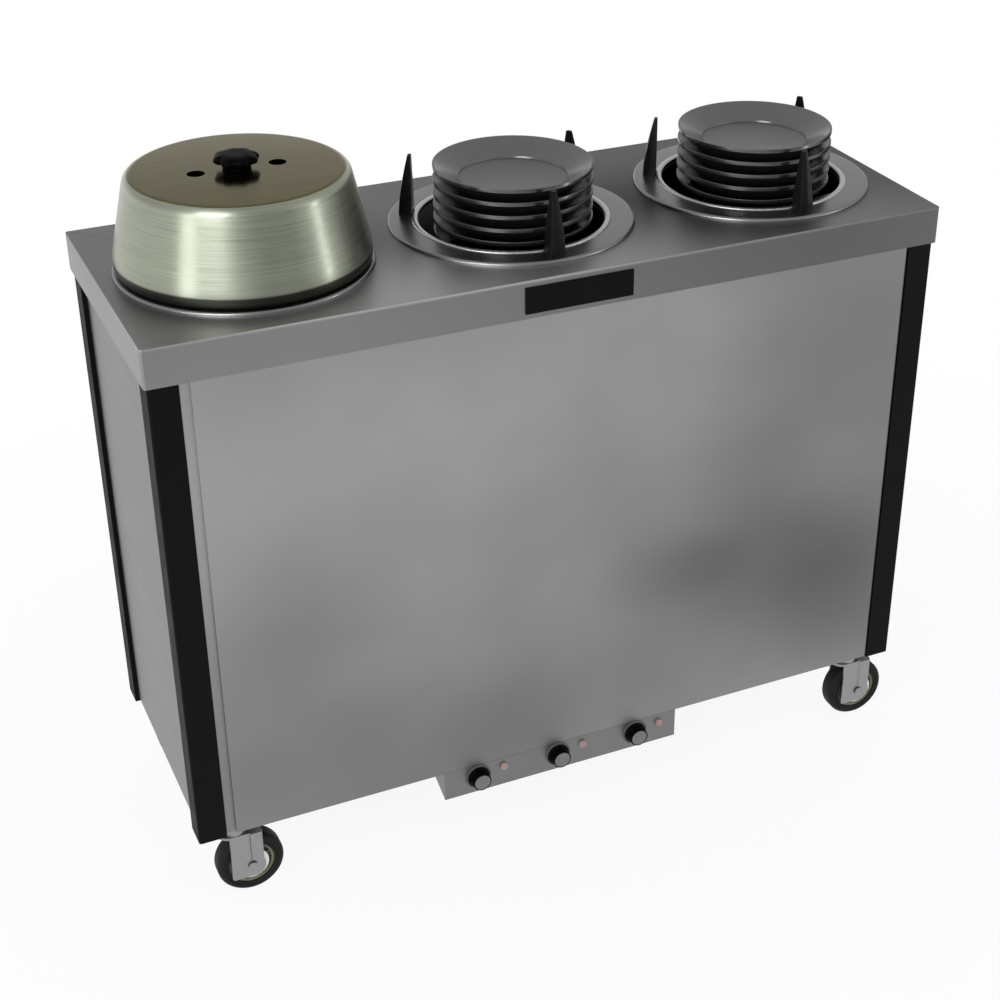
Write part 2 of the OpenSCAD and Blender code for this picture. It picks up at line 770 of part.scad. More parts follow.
// Outline of a fork's leg, from the crown down round the axle
module fork_leg() {
    hull() {
        translate([-fork_half, crown_z - wheel_r]) square([2 * fork_half, fork_t]);
        translate([trail, 0]) circle(fork_foot_r, $fn = 32);
        translate([-fork_heel_x, -fork_foot_r / 2]) circle(fork_heel_r, $fn = 32);
    }
}

module fork(i) {
    inner = tyre_w / 2 + fork_gap;
    color([0.6, 0.6, 0.6]) place() at_caster(i) difference() {
        union() {
            span([-fork_half, -inner - fork_t, crown_z], [fork_half, inner + fork_t, crown_z + fork_t]);
            translate([0, 0, crown_z]) cylinder(race_z - crown_z, r = fork_race_r);
            for (y = [-inner, inner + fork_t]) translate([0, y, wheel_r]) rotate([90, 0, 0])
                linear_extrude(fork_t) fork_leg();
            for (s = [0, 1]) mirror([0, s, 0])
                span([fork_half - pad_w, -inner - fork_t - pad_t, crown_z - pad_h + fork_t],
                     [fork_half, -inner - fork_t, crown_z + fork_t]);
        }
        translate([0, 0, crown_z - cut]) cylinder(race_z - crown_z + 2 * cut, r = kingpin_r + fit);
        translate([trail, inner + fork_t + cut, wheel_r]) rotate([90, 0, 0])
            cylinder(2 * (inner + fork_t + cut), r = axle_r + fit);
    }
}

module axle(i) {
    inner = tyre_w / 2 + fork_gap + fork_t;
    color("gray") place() at_wheel(i) {
        translate([0, 0, -inner - axle_head_h]) cylinder(2 * (inner + axle_head_h), r = axle_r);
        for (z = [-inner - axle_head_h, inner]) translate([0, 0, z]) cylinder(axle_head_h, r = axle_head_r);
    }
}

module hub(i) {
    boss = tyre_w / 2 + fork_gap - gap;
    web = hub_web_t / 2;
    rim = tyre_w / 2 - hub_rim_t / 2;
    color([0.45, 0.45, 0.4]) place() at_wheel(i) rotate_extrude() polygon([
        [hub_bore_r, -boss], [hub_boss_r, -boss], [hub_boss_r, -web], [rim_out_r - hub_rim_t, -web],
        [rim_out_r - hub_rim_t, -rim], [rim_out_r, -rim], [rim_out_r, rim], [rim_out_r - hub_rim_t, rim],
        [rim_out_r - hub_rim_t, web], [hub_boss_r, web], [hub_boss_r, boss], [hub_bore_r, boss]
    ]);
}

module tyre(i) {
    half = tyre_w / 2 - tyre_round;
    color([0.1, 0.1, 0.1]) place() at_wheel(i) rotate_extrude() difference() {
        union() {
            translate([rim_out_r, -half]) square([tyre_h, 2 * half]);
            translate([rim_out_r, -tyre_w / 2]) square([tyre_h - tyre_round, tyre_w]);
            for (y = [-half, half]) translate([wheel_r - tyre_round, y]) circle(tyre_round);
        }
    }
}

deck();
front_panel();
rear_panel();
left_end_panel();
right_end_panel();
base_pan();
corner_posts();
corner_bumpers();
name_plate();
control_box();
control_box_cover();
dial_bezels();
thermostats();
lamps();
heaters();
cord_gland();
guide_posts();
silo(0);  // silo_left
silo(1);  // silo_middle
silo(2);  // silo_right
well_ring(0);  // well_ring_left
well_ring(1);  // well_ring_middle
well_ring(2);  // well_ring_right
plate_guides(0);  // plate_guides_left
plate_guides(1);  // plate_guides_middle
plate_guides(2);  // plate_guides_right
carriage(0);  // carriage_left
carriage(1);  // carriage_middle
carriage(2);  // carriage_right
spring(0);  // spring_left
spring(1);  // spring_middle
spring(2);  // spring_right
plates(0);  // plates_left
plates(1);  // plates_middle
plates(2);  // plates_right
cover_shell();
cover_knob();
cover_stud();
control_knob(0);  // control_knob_left
control_knob(1);  // control_knob_middle
control_knob(2);  // control_knob_right
caster_plates();
caster_bolts();
fork(0);  // fork_front_left
fork(1);  // fork_front_right
fork(2);  // fork_rear_left
fork(3);  // fork_rear_right
axle(0);  // axle_front_left
axle(1);  // axle_front_right
axle(2);  // axle_rear_left
axle(3);  // axle_rear_right
hub(0);  // hub_front_left
hub(1);  // hub_front_right
hub(2);  // hub_rear_left
hub(3);  // hub_rear_right
tyre(0);  // tyre_front_left
tyre(1);  // tyre_front_right
tyre(2);  // tyre_rear_left
tyre(3);  // tyre_rear_right
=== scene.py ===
"""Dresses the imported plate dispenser: steel, plastic and glaze on its solids, and finer pieces where the
solids are plain."""

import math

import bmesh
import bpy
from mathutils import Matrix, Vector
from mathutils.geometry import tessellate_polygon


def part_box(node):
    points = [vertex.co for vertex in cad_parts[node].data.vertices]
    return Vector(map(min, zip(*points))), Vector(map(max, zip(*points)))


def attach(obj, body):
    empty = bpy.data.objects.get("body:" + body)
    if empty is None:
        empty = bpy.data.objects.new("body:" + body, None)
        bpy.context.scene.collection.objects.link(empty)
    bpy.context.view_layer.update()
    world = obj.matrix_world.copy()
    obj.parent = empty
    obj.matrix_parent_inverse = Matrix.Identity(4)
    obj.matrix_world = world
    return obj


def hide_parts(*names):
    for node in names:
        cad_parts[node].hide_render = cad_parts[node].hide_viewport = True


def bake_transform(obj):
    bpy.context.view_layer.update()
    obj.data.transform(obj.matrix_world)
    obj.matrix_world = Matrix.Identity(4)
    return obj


bl_info = {
    "name": "Plate Dispenser",
    "version": (1, 0, 0),
    "blender": (4, 5, 0),
    "location": "View3D > Sidebar > Dispenser",
    "description": "Finishes a mobile heated plate dispenser and sets its studio",
    "category": "Object",
}

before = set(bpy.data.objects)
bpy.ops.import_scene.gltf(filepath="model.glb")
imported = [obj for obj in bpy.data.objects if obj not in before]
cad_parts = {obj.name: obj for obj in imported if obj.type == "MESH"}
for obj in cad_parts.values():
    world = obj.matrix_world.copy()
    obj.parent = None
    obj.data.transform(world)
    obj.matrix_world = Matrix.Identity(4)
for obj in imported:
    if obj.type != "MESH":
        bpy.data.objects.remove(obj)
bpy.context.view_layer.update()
WELLS = ("left", "middle", "right")
CORNERS = ("front_left", "front_right", "rear_left", "rear_right")
MM = 0.001


def box(name):
    """Lowest corner, highest corner and middle of a CAD node."""
    low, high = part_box(name)
    return low, high, (low + high) / 2


def hex_linear(text):
    """An sRGB hex colour as linear red, green, blue and alpha."""
    parts = [int(text[i:i + 2], 16) / 255 for i in (1, 3, 5)]
    return tuple(c / 12.92 if c <= 0.04045 else ((c + 0.055) / 1.055) ** 2.4 for c in parts) + (1.0,)


def length(name, text, default):
    return bpy.props.FloatProperty(name=name, description=text, default=default, min=0.0,
                                   unit="LENGTH", subtype="DISTANCE")


def number(name, text, default, low):
    return bpy.props.IntProperty(name=name, description=text, default=default, min=low)


def colour(name, text, default):
    return bpy.props.FloatVectorProperty(name=name, description=text, default=hex_linear(default), size=4,
                                         min=0, max=1, subtype="COLOR")


class DispenserSizes(bpy.types.PropertyGroup):
    """Sizes of the pieces that are finer than the solids."""
    plate_floor: length("Plate floor", "Radius of a plate's flat floor", 76 * MM)
    plate_depth: length("Plate depth", "Depth of a plate's floor under its rim", 22 * MM)
    plate_wall: length("Plate wall", "Thickness of a plate", 4 * MM)
    plate_pitch: length("Plate pitch", "Distance between two rims in a stack", 19.3 * MM)
    plate_count: number("Plates", "Plates in each stack", 6, 1)
    guide_inner: length("Guide radius", "Radius of the guides' inner faces", 143.5 * MM)
    guide_depth: length("Guide depth", "Depth of a guide's foot along the radius", 20.5 * MM)
    guide_width: length("Guide width", "Width of a guide's foot", 30 * MM)
    guide_tip_depth: length("Guide tip depth", "Depth of a guide's tip", 5 * MM)
    guide_tip_width: length("Guide tip width", "Width of a guide's tip", 9 * MM)
    cover_flat: length("Cover's ground top", "Radius of the ground face on top of the cover", 144 * MM)
    edge: length("Folded edge", "Radius of the sheets' folded edges", 1.2 * MM)
    rubber_edge: length("Rubber edge", "Radius of the rubber pieces' edges", 0.9 * MM)
    knob_lobes: number("Lobes", "Lobes of the cover's knob", 8, 3)
    wheel_ribs: number("Wheel ribs", "Ribs between a hub and its rim", 10, 3)
    spring_turns: number("Spring turns", "Turns of each spring", 14, 3)


class DispenserColours(bpy.types.PropertyGroup):
    """Colours of the materials."""
    panel: colour("Panels", "Stainless steel of the panels", "#909090")
    deck: colour("Deck", "Stainless steel of the deck", "#8e8e8e")
    ring: colour("Rings", "Stainless steel of the wells' rings", "#949494")
    cover: colour("Cover", "Spun stainless steel of the cover", "#a5aa9a")
    zinc: colour("Zinc", "Zinc-plated steel of the casters", "#969697")
    rubber: colour("Rubber", "Rubber of the bumpers and tyres", "#0a0a0a")
    plastic: colour("Plastic", "Black plastic of the guides and knobs", "#111112")
    glaze: colour("Glaze", "Glaze of the plates", "#505050")
    hub: colour("Hubs", "Plastic of the hubs", "#77765f")
    lens: colour("Lamps", "Lenses of the lamps", "#b29592")
    dial: colour("Dials", "Painted discs behind the control knobs", "#5a5a59")
    floor: colour("Floor", "Pale floor of the studio", "#e9e9e8")


def sizes():
    return bpy.context.scene.dispenser_sizes


def colours():
    return bpy.context.scene.dispenser_colours


# Node helpers

MATH, VECTOR, RANGE = "ShaderNodeMath", "ShaderNodeVectorMath", "ShaderNodeMapRange"
NOISE, MIX, PARTS = "ShaderNodeTexNoise", "ShaderNodeMix", "ShaderNodeSeparateXYZ"
SOFT = {"interpolation_type": "SMOOTHSTEP"}
# Nearly all of a noise's values lie between these two
SPAN = (0.3, 0.7)


def add(tree, kind, inputs=(), out=0, **settings):
    """Adds a node with its settings and links. Its inputs are values or outputs, by place or by name. The
    output that out names is handed back, or the node itself where out is None."""
    node = tree.nodes.new(kind)
    for key, value in settings.items():
        setattr(node, key, value)
    for key, value in inputs.items() if isinstance(inputs, dict) else enumerate(inputs):
        if isinstance(value, bpy.types.NodeSocket):
            tree.links.new(value, node.inputs[key])
        else:
            node.inputs[key].default_value = value
    return node if out is None else node.outputs[out]


def new_material(name, **sockets):
    """A material with a Principled shader whose even values are set on its own sockets."""
    m = bpy.data.materials.new(name)
    m.use_nodes = True
    m.node_tree.nodes.clear()
    even = {key.replace("_", " "): value for key, value in sockets.items()}
    shader = add(m.node_tree, "ShaderNodeBsdfPrincipled", even, None)
    add(m.node_tree, "ShaderNodeOutputMaterial", [shader.outputs[0]], None)
    m.diffuse_color = sockets["Base_Color"]
    return m, m.node_tree, shader


def placed(tree, scale=(1, 1, 1), at=(0, 0, 0), here=None):
    """Object coordinates, or other ones, less a middle and stretched along each axis."""
    here = here or add(tree, "ShaderNodeTexCoord", out="Object")
    moved = add(tree, VECTOR, [here, at], operation="SUBTRACT")
    return add(tree, VECTOR, [moved, scale], operation="MULTIPLY")


def pattern(tree, grains, detail=2.0, rough=0.5, at=(0, 0, 0)):
    """Noise with so many grains to the metre, alike all round or along each axis."""
    grains = grains if isinstance(grains, tuple) else (grains,) * 3
    return add(tree, NOISE, {"Vector": placed(tree, grains, at), "Scale": 1.0, "Detail": detail,
                             "Roughness": rough})


def vary(tree, shader, base, shares, rough, relief, strength, depth):
    """Links what varies over a surface: its base colour times all shares, its roughness and its relief."""
    factor, *others = shares
    for share in others:
        factor = add(tree, MATH, [factor, share], operation="MULTIPLY")
    tinted = add(tree, VECTOR, {0: base, "Scale": factor}, operation="SCALE")
    raised = add(tree, "ShaderNodeBump", {"Height": relief, "Strength": strength, "Distance": depth})
    for value, socket in ((tinted, "Base Color"), (rough, "Roughness"), (raised, "Normal")):
        tree.links.new(value, shader.inputs[socket])


def seen(tree):
    """One for the rays that show the surroundings: the camera's, and those off gloss and through glass."""
    rays = add(tree, "ShaderNodeLightPath", out=None).outputs
    shown = rays["Is Camera Ray"]
    for kind in ("Is Glossy Ray", "Is Transmission Ray"):
        shown = add(tree, MATH, [shown, rays[kind]], operation="MAXIMUM")
    return shown


def soft_spots(tree, spots, here=None):
    """Sum of soft round spots on top of one: each is a middle, three half-widths and a gain."""
    total = 1.0
    for middle, halves, gain in spots:
        away = placed(tree, [1 / h for h in halves], middle, here)
        far = add(tree, VECTOR, [away], "Value", operation="LENGTH")
        near = add(tree, RANGE, [far, 0.0, 1.0, 1.0, 0.0], interpolation_type="SMOOTHERSTEP")
        total = add(tree, MATH, [near, gain, total], operation="MULTIPLY_ADD")
    return total


# Materials, each named for what the real one is

def ground_stainless(name, base, grain, roughness, spots, cloud, cloud_size):
    """Stainless sheet ground with a belt: the grain's fine lines run one way and blur what it mirrors.
    Real lines are about 0.1 mm apart, so they are drawn near 2 mm wide, which still shows."""
    m, tree, shader = new_material(name, Base_Color=base, Metallic=1.0, Roughness=roughness)
    lines, patches = pattern(tree, grain, 4.0, 0.6), pattern(tree, 1 / cloud_size)
    # The spots, where given, are painted light and shade on the sheet's colour
    shares = [add(tree, RANGE, [patches, *SPAN, 1 - cloud, 1 + cloud]),
              add(tree, RANGE, [lines, *SPAN, 0.985, 1.015]), soft_spots(tree, spots)]
    uneven = add(tree, MATH, [add(tree, RANGE, [lines, *SPAN, roughness - 0.05, roughness + 0.05]),
                              add(tree, RANGE, [patches, *SPAN, -0.04, 0.04])], operation="ADD")
    vary(tree, shader, base[:3], shares, uneven, lines, 0.12, 0.3 * MM)
    return m


def spun_stainless(name, base, centre, flat_r, height):
    """Stainless steel spun on a lathe: its side has rings of fine scratches, which draw highlights into
    upright streaks, and its flat top is ground straight across. The centre is that of the top."""
    m, tree, shader = new_material(name, Base_Color=base, Metallic=1.0, Roughness=0.34, Anisotropic=0.72)
    part = add(tree, PARTS, [placed(tree, at=centre)], None).outputs
    flat = add(tree, "ShaderNodeCombineXYZ", [part["X"], part["Y"]])
    turn = add(tree, MATH, [part["Y"], part["X"]], operation="ARCTAN2")
    away = add(tree, VECTOR, [flat], "Value", operation="LENGTH")
    # 1.3 mm rings on the side, drawn wider than the real 0.1 mm scratches
    side = add(tree, "ShaderNodeCombineXYZ",
               [add(tree, MATH, [value, grains], operation="MULTIPLY")
                for value, grains in ((turn, 1.3), (away, 80.0), (part["Z"], 760.0))])
    rings = add(tree, NOISE, {"Vector": side, "Scale": 1.0, "Detail": 5.0, "Roughness": 0.65})
    straight = pattern(tree, (5, 300, 5), 5.0, 0.65, centre)
    on_top = add(tree, MATH, [part["Z"], -4 * MM], operation="GREATER_THAN")
    inside = add(tree, RANGE, [away, flat_r, flat_r + 1.5 * MM, 1.0, 0.0], **SOFT)
    is_top = add(tree, MATH, [on_top, inside], operation="MULTIPLY")
    change = add(tree, MATH, [straight, rings], operation="SUBTRACT")
    lines = add(tree, MATH, [is_top, change, rings], operation="MULTIPLY_ADD")
    # Painted shade: the turned-in rim at the foot of the side is drawn much darker
    rim = add(tree, RANGE, [part["Z"], 15 * MM - height, 19 * MM - height, 0.12, 1.0], **SOFT)
    # Painted highlight: the side is drawn brighter towards the rolled shoulder round the top
    shoulder = add(tree, RANGE, [part["Z"], -16 * MM, -4 * MM, 0.0, 0.22], **SOFT)
    is_side = add(tree, MATH, [1.0, is_top], operation="SUBTRACT")
    painted_shoulder_highlight = add(tree, MATH, [shoulder, is_side, 1.0], operation="MULTIPLY_ADD")
    broad = add(tree, RANGE, [pattern(tree, (9, 9, 14), at=centre), *SPAN, 0.94, 1.05])
    shares = [add(tree, RANGE, [lines, *SPAN, 0.80, 1.18]), broad, rim, painted_shoulder_highlight]
    # Painted shade: the ground top is drawn in a warmer, darker tone than the side
    painted_shade_top_colour = [value * share for value, share in zip(base, (0.49, 0.40, 0.23))]
    tone = add(tree, MIX, {0: is_top, 4: base[:3], 5: painted_shade_top_colour}, 1, data_type="VECTOR")
    # It is smoother than the side too and mirrors the knob
    sheen = add(tree, MATH, [is_top, -0.62, 1.0], operation="MULTIPLY_ADD")
    rough = add(tree, MATH, [add(tree, RANGE, [lines, *SPAN, 0.27, 0.43]), sheen], operation="MULTIPLY")
    # Shine stretches square to the scratches: up the side, and across the top's straight grain
    along = add(tree, MIX, {0: is_top, 4: (0, 0, 1), 5: (0, 1, 0)}, 1, data_type="VECTOR")
    tree.links.new(along, shader.inputs["Tangent"])
    vary(tree, shader, tone, shares, rough, lines, 0.15, 0.3 * MM)
    return m


def mottled_metal(name, base, roughness):
    """Plated, drawn or pressed metal: a soft grey shine with a faint mottle about 6 mm across."""
    m, tree, shader = new_material(name, Base_Color=base, Metallic=1.0, Roughness=roughness)
    mottle, fine = pattern(tree, 160), pattern(tree, 900)
    shares = [add(tree, RANGE, [mottle, *SPAN, 0.93, 1.06])]
    rough = add(tree, RANGE, [mottle, *SPAN, roughness - 0.06, roughness + 0.08])
    vary(tree, shader, base[:3], shares, rough, fine, 0.1, 0.1 * MM)
    return m


def moulded(name, base, roughness, grit, relief, specular=0.5, worn=0.0, **sockets):
    """Moulded rubber or plastic: the mould's fine grit, about 0.9 mm so that it shows, under a low shine."""
    m, tree, shader = new_material(name, Base_Color=base, Roughness=roughness, Specular_IOR_Level=specular,
                                   **sockets)
    fine, broad = pattern(tree, grit, rough=0.6), pattern(tree, 24, 3.0, 0.55)
    shares = [add(tree, RANGE, [broad, *SPAN, 0.9 - worn, 1.1 + worn])]
    uneven = add(tree, MATH, [add(tree, RANGE, [broad, *SPAN, roughness - 0.05, roughness + 0.06]),
                              add(tree, RANGE, [fine, *SPAN, -0.03, 0.03])], operation="ADD")
    vary(tree, shader, base[:3], shares, uneven, fine, relief, 0.2 * MM)
    return m


def fired_glaze(name, base):
    """Fired glaze over stoneware: a smooth bright coat, with pinprick specks 1 mm across. Painted shade makes
    it near black on the sides and undersides and half as bright on faces pointing straight up; the sloping
    rim stays light."""
    m, tree, shader = new_material(name, Base_Color=base, Roughness=0.20, IOR=1.9)
    pooled, specks = pattern(tree, 30), pattern(tree, 1000, 1.0)
    up = add(tree, PARTS, [add(tree, "ShaderNodeNewGeometry", out="Normal")], "Z")
    shares = [add(tree, RANGE, [pooled, *SPAN, 0.96, 1.04]),
              add(tree, RANGE, [specks, 0.66, 0.74, 1.0, 0.86]),
              # Painted shade: near black where the face turns sideways or down, half as bright where it
              # points straight up
              add(tree, RANGE, [up, -0.1, 0.5, 0.10, 1.0], **SOFT),
              add(tree, RANGE, [up, 0.90, 0.98, 1.0, 0.50], **SOFT)]
    rough = add(tree, RANGE, [pooled, *SPAN, 0.17, 0.24])
    vary(tree, shader, base[:3], shares, rough, pooled, 0.06, 0.6 * MM)
    return m


# Mesh helpers

def mesh_piece(name, verts, faces, material, sharp=35):
    """A closed mesh at the origin whose faces point outwards, smooth but for its sharp edges."""
    mesh = bpy.data.meshes.new(name)
    mesh.from_pydata([tuple(v) for v in verts], [], faces)
    bm = bmesh.new()
    bm.from_mesh(mesh)
    bmesh.ops.remove_doubles(bm, verts=bm.verts, dist=1e-7)
    bmesh.ops.recalc_face_normals(bm, faces=bm.faces)
    bm.to_mesh(mesh)
    bm.free()
    mesh.shade_smooth()
    mesh.set_sharp_from_angle(angle=math.radians(sharp))
    mesh.materials.append(material)
    o = bpy.data.objects.new(name, mesh)
    bpy.context.scene.collection.objects.link(o)
    return o


def rounded(corners, steps=5):
    """A polygon with rounded corners: each is given by its place and its radius."""
    points = [Vector(corner[:2]) for corner in corners]
    out = []
    for i, (p, (_, _, r)) in enumerate(zip(points, corners)):
        if r <= 0:
            out.append(p)
            continue
        a = (points[i - 1] - p).normalized()
        b = (points[(i + 1) % len(points)] - p).normalized()
        half = a.angle(b) / 2
        reach = r / math.tan(half)
        centre = p + (a + b).normalized() * (r / math.sin(half))
        start, end = p + a * reach - centre, p + b * reach - centre
        whole = start.angle(end)
        for k in range(steps + 1):
            t = k / steps
            mixed = start * math.sin((1 - t) * whole) + end * math.sin(t * whole)
            out.append(centre + mixed / math.sin(whole))
    return out


def lathe(profile, centre, steps=144, axis="Z"):
    """Vertices and faces of a closed profile of radius and height turned about an upright or level axis."""
    verts, faces = [], []
    n = len(profile)
    on_axis = [r < 1e-9 for r, _ in profile]
    for x, y in ring_of(0, 0, 1, steps):
        for r, h in profile:
            verts.append(Vector(centre) + Vector((r * x, r * y, h) if axis == "Z" else (r * x, -h, r * y)))
    for k in range(steps):
        for i in range(n):
            j, l = (i + 1) % n, (k + 1) % steps
            # All steps share a point on the axis, so its faces have three corners
            face = dict.fromkeys(b if on_axis[b] else a * n + b for a, b in ((k, i), (k, j), (l, j), (l, i)))
            if len(face) > 2:
                faces.append(list(face))
    return verts, faces


def ring_of(x, y, r, steps=32):
    """Points round a circle."""
    return [(x + r * math.cos(2 * math.pi * k / steps), y + r * math.sin(2 * math.pi * k / steps))
            for k in range(steps)]


def prism(loops, start, end, far=None, axis="Y"):
    """A plate cut along an outline and its holes, from start to end, tapered to far outlines if given."""
    flat = [p for loop in loops for p in loop]
    ends = [p for loop in far or loops for p in loop]
    verts = [(x, start, y) for x, y in flat] + [(x, end, y) for x, y in ends]
    if axis == "Z":
        verts = [(x, z, y) for x, y, z in verts]
    cap = [list(t) for t in tessellate_polygon([[Vector((x, y, 0)) for x, y in loop] for loop in loops])]
    n, first = len(flat), 0
    faces = cap + [[n + i for i in t] for t in cap]
    for loop in loops:
        m = len(loop)
        for i in range(m):
            a, b = first + i, first + (i + 1) % m
            faces.append([a, b, n + b, n + a])
        first += m
    return verts, faces


def stacked(rings, capped=True):
    """Joins rings of points in turn. The first is closed, and so is the last if capped."""
    n, last = len(rings[0]), len(rings) - 1
    faces = [list(range(n))[::-1]]
    for k in range(last):
        for j in range(n):
            a, b = k * n + j, k * n + (j + 1) % n
            faces.append([a, b, b + n, a + n])
    if capped:
        faces.append([last * n + j for j in range(n)])
    return [v for ring in rings for v in ring], faces


def joined(parts, at=(0, 0, 0), way=1):
    """Puts shells of vertices and faces together round a point, turned about if way is -1."""
    verts, faces = [], []
    for v, f in parts:
        n = len(verts)
        verts += [(at[0] + way * x, at[1] + way * y, at[2] + z) for x, y, z in v]
        faces += [[n + i for i in face] for face in f]
    return verts, faces


def node_tree(name, build, *sockets):
    """A Geometry Nodes tree, built once, with its geometry and other named inputs."""
    tree = bpy.data.node_groups.get(name)
    if not tree:
        tree = bpy.data.node_groups.new(name, "GeometryNodeTree")
        for socket, kind in (("Geometry", "Geometry"), *sockets):
            tree.interface.new_socket(socket, in_out="INPUT", socket_type="NodeSocket" + kind)
        tree.interface.new_socket("Geometry", in_out="OUTPUT", socket_type="NodeSocketGeometry")
        given = add(tree, "NodeGroupInput", out=None).outputs
        add(tree, "NodeGroupOutput", [build(tree, given)], None)
    return tree


def copies(tree, given):
    """Copies of a mesh along a step, each turned a little more about an axis."""
    minus = add(tree, VECTOR, {0: given["Centre"], "Scale": -1.0}, operation="SCALE")
    home = add(tree, "GeometryNodeTransform", {"Geometry": given["Geometry"], "Translation": minus})
    line = add(tree, "GeometryNodeMeshLine", {"Count": given["Copies"], "Start Location": given["Centre"],
                                              "Offset": given["Step"]}, mode="OFFSET")
    index = add(tree, "GeometryNodeInputIndex")
    angle = add(tree, MATH, [index, given["Turn"], given["First turn"]], operation="MULTIPLY_ADD")
    turn = add(tree, "FunctionNodeAxisAngleToRotation", {"Axis": given["Axis"], "Angle": angle})
    many = add(tree, "GeometryNodeInstanceOnPoints", {"Points": line, "Instance": home, "Rotation": turn})
    real = add(tree, "GeometryNodeRealizeInstances", {"Geometry": many})
    return add(tree, "GeometryNodeSetMaterial", {"Geometry": real, "Material": given["Finish"]})


def copied(o, material, count, centre, step=(0, 0, 0), turn=0.0, first=0.0, axis=(0, 0, 1)):
    """Repeats a piece with the copies tree and keeps the result as a plain mesh."""
    tree = node_tree("Copies", copies, ("Copies", "Int"), ("Centre", "Vector"), ("Step", "Vector"),
                     ("Axis", "Vector"), ("First turn", "Float"), ("Turn", "Float"), ("Finish", "Material"))
    modifier = o.modifiers.new("Copies", "NODES")
    modifier.node_group = tree
    values = {"Copies": count, "Centre": tuple(centre), "Step": tuple(step), "Axis": tuple(axis),
              "First turn": first, "Turn": turn, "Finish": material}
    for item in tree.interface.items_tree:
        if item.in_out == "INPUT" and item.name in values:
            modifier[item.identifier] = values[item.name]
    return applied(o)


def applied(o):
    """The evaluated mesh takes the place of the modifiers."""
    bpy.context.view_layer.update()
    mesh = bpy.data.meshes.new_from_object(o.evaluated_get(bpy.context.evaluated_depsgraph_get()))
    old = o.data
    o.modifiers.clear()
    o.data = mesh
    mesh.name = o.name
    bpy.data.meshes.remove(old)
    return o


def smoothing(tree, given):
    """Smooth shading between faces that meet at less than an angle."""
    soft = add(tree, "GeometryNodeSetShadeSmooth", {"Geometry": given["Geometry"]}, domain="FACE")
    angle = add(tree, "GeometryNodeInputMeshEdgeAngle")
    over = add(tree, "FunctionNodeCompare", [angle, given["Angle"]], operation="GREATER_THAN")
    return add(tree, "GeometryNodeSetShadeSmooth",
               {"Geometry": soft, "Selection": over, "Shade Smooth": False}, domain="EDGE")


def round_edges(o, radius, segments, sharp=None):
    """Rounds a piece's edges, or those sharper than an angle."""
    bevel = o.modifiers.new("Round edges", "BEVEL")
    bevel.width, bevel.segments = radius, segments
    if sharp:
        bevel.limit_method, bevel.angle_limit = "ANGLE", math.radians(sharp)


def dress(name, material, edge=0.0, sharp=40):
    """Gives a CAD node its material, with welded faces and slightly round edges."""
    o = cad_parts[name]
    for slot in o.material_slots:
        slot.material = material
    weld = o.modifiers.new("Weld", "WELD")
    weld.merge_threshold = 1e-6
    if edge > 0:
        flat = o.modifiers.new("Flat faces", "DECIMATE")
        flat.decimate_type = "DISSOLVE"
        flat.angle_limit = math.radians(0.5)
        round_edges(o, edge, 3, sharp)
    shade = o.modifiers.new("Smooth by angle", "NODES")
    shade.node_group = node_tree("Smooth by angle", smoothing, ("Angle", "Float"))
    shade[shade.node_group.interface.items_tree["Angle"].identifier] = math.radians(sharp)
    if edge > 0:
        # The large flat faces keep their own direction up to the round edges
        level = o.modifiers.new("Level faces", "WEIGHTED_NORMAL")
        level.mode, level.weight, level.keep_sharp = "FACE_AREA", 100, True


def ready(o, body, slot, *nodes):
    """Rides a piece on its body and lets it stand for CAD nodes, which it hides. The slot is not used."""
    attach(o, body)
    if nodes:
        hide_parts(*nodes)


LEVEL_GRAIN = (5, 520, 520)
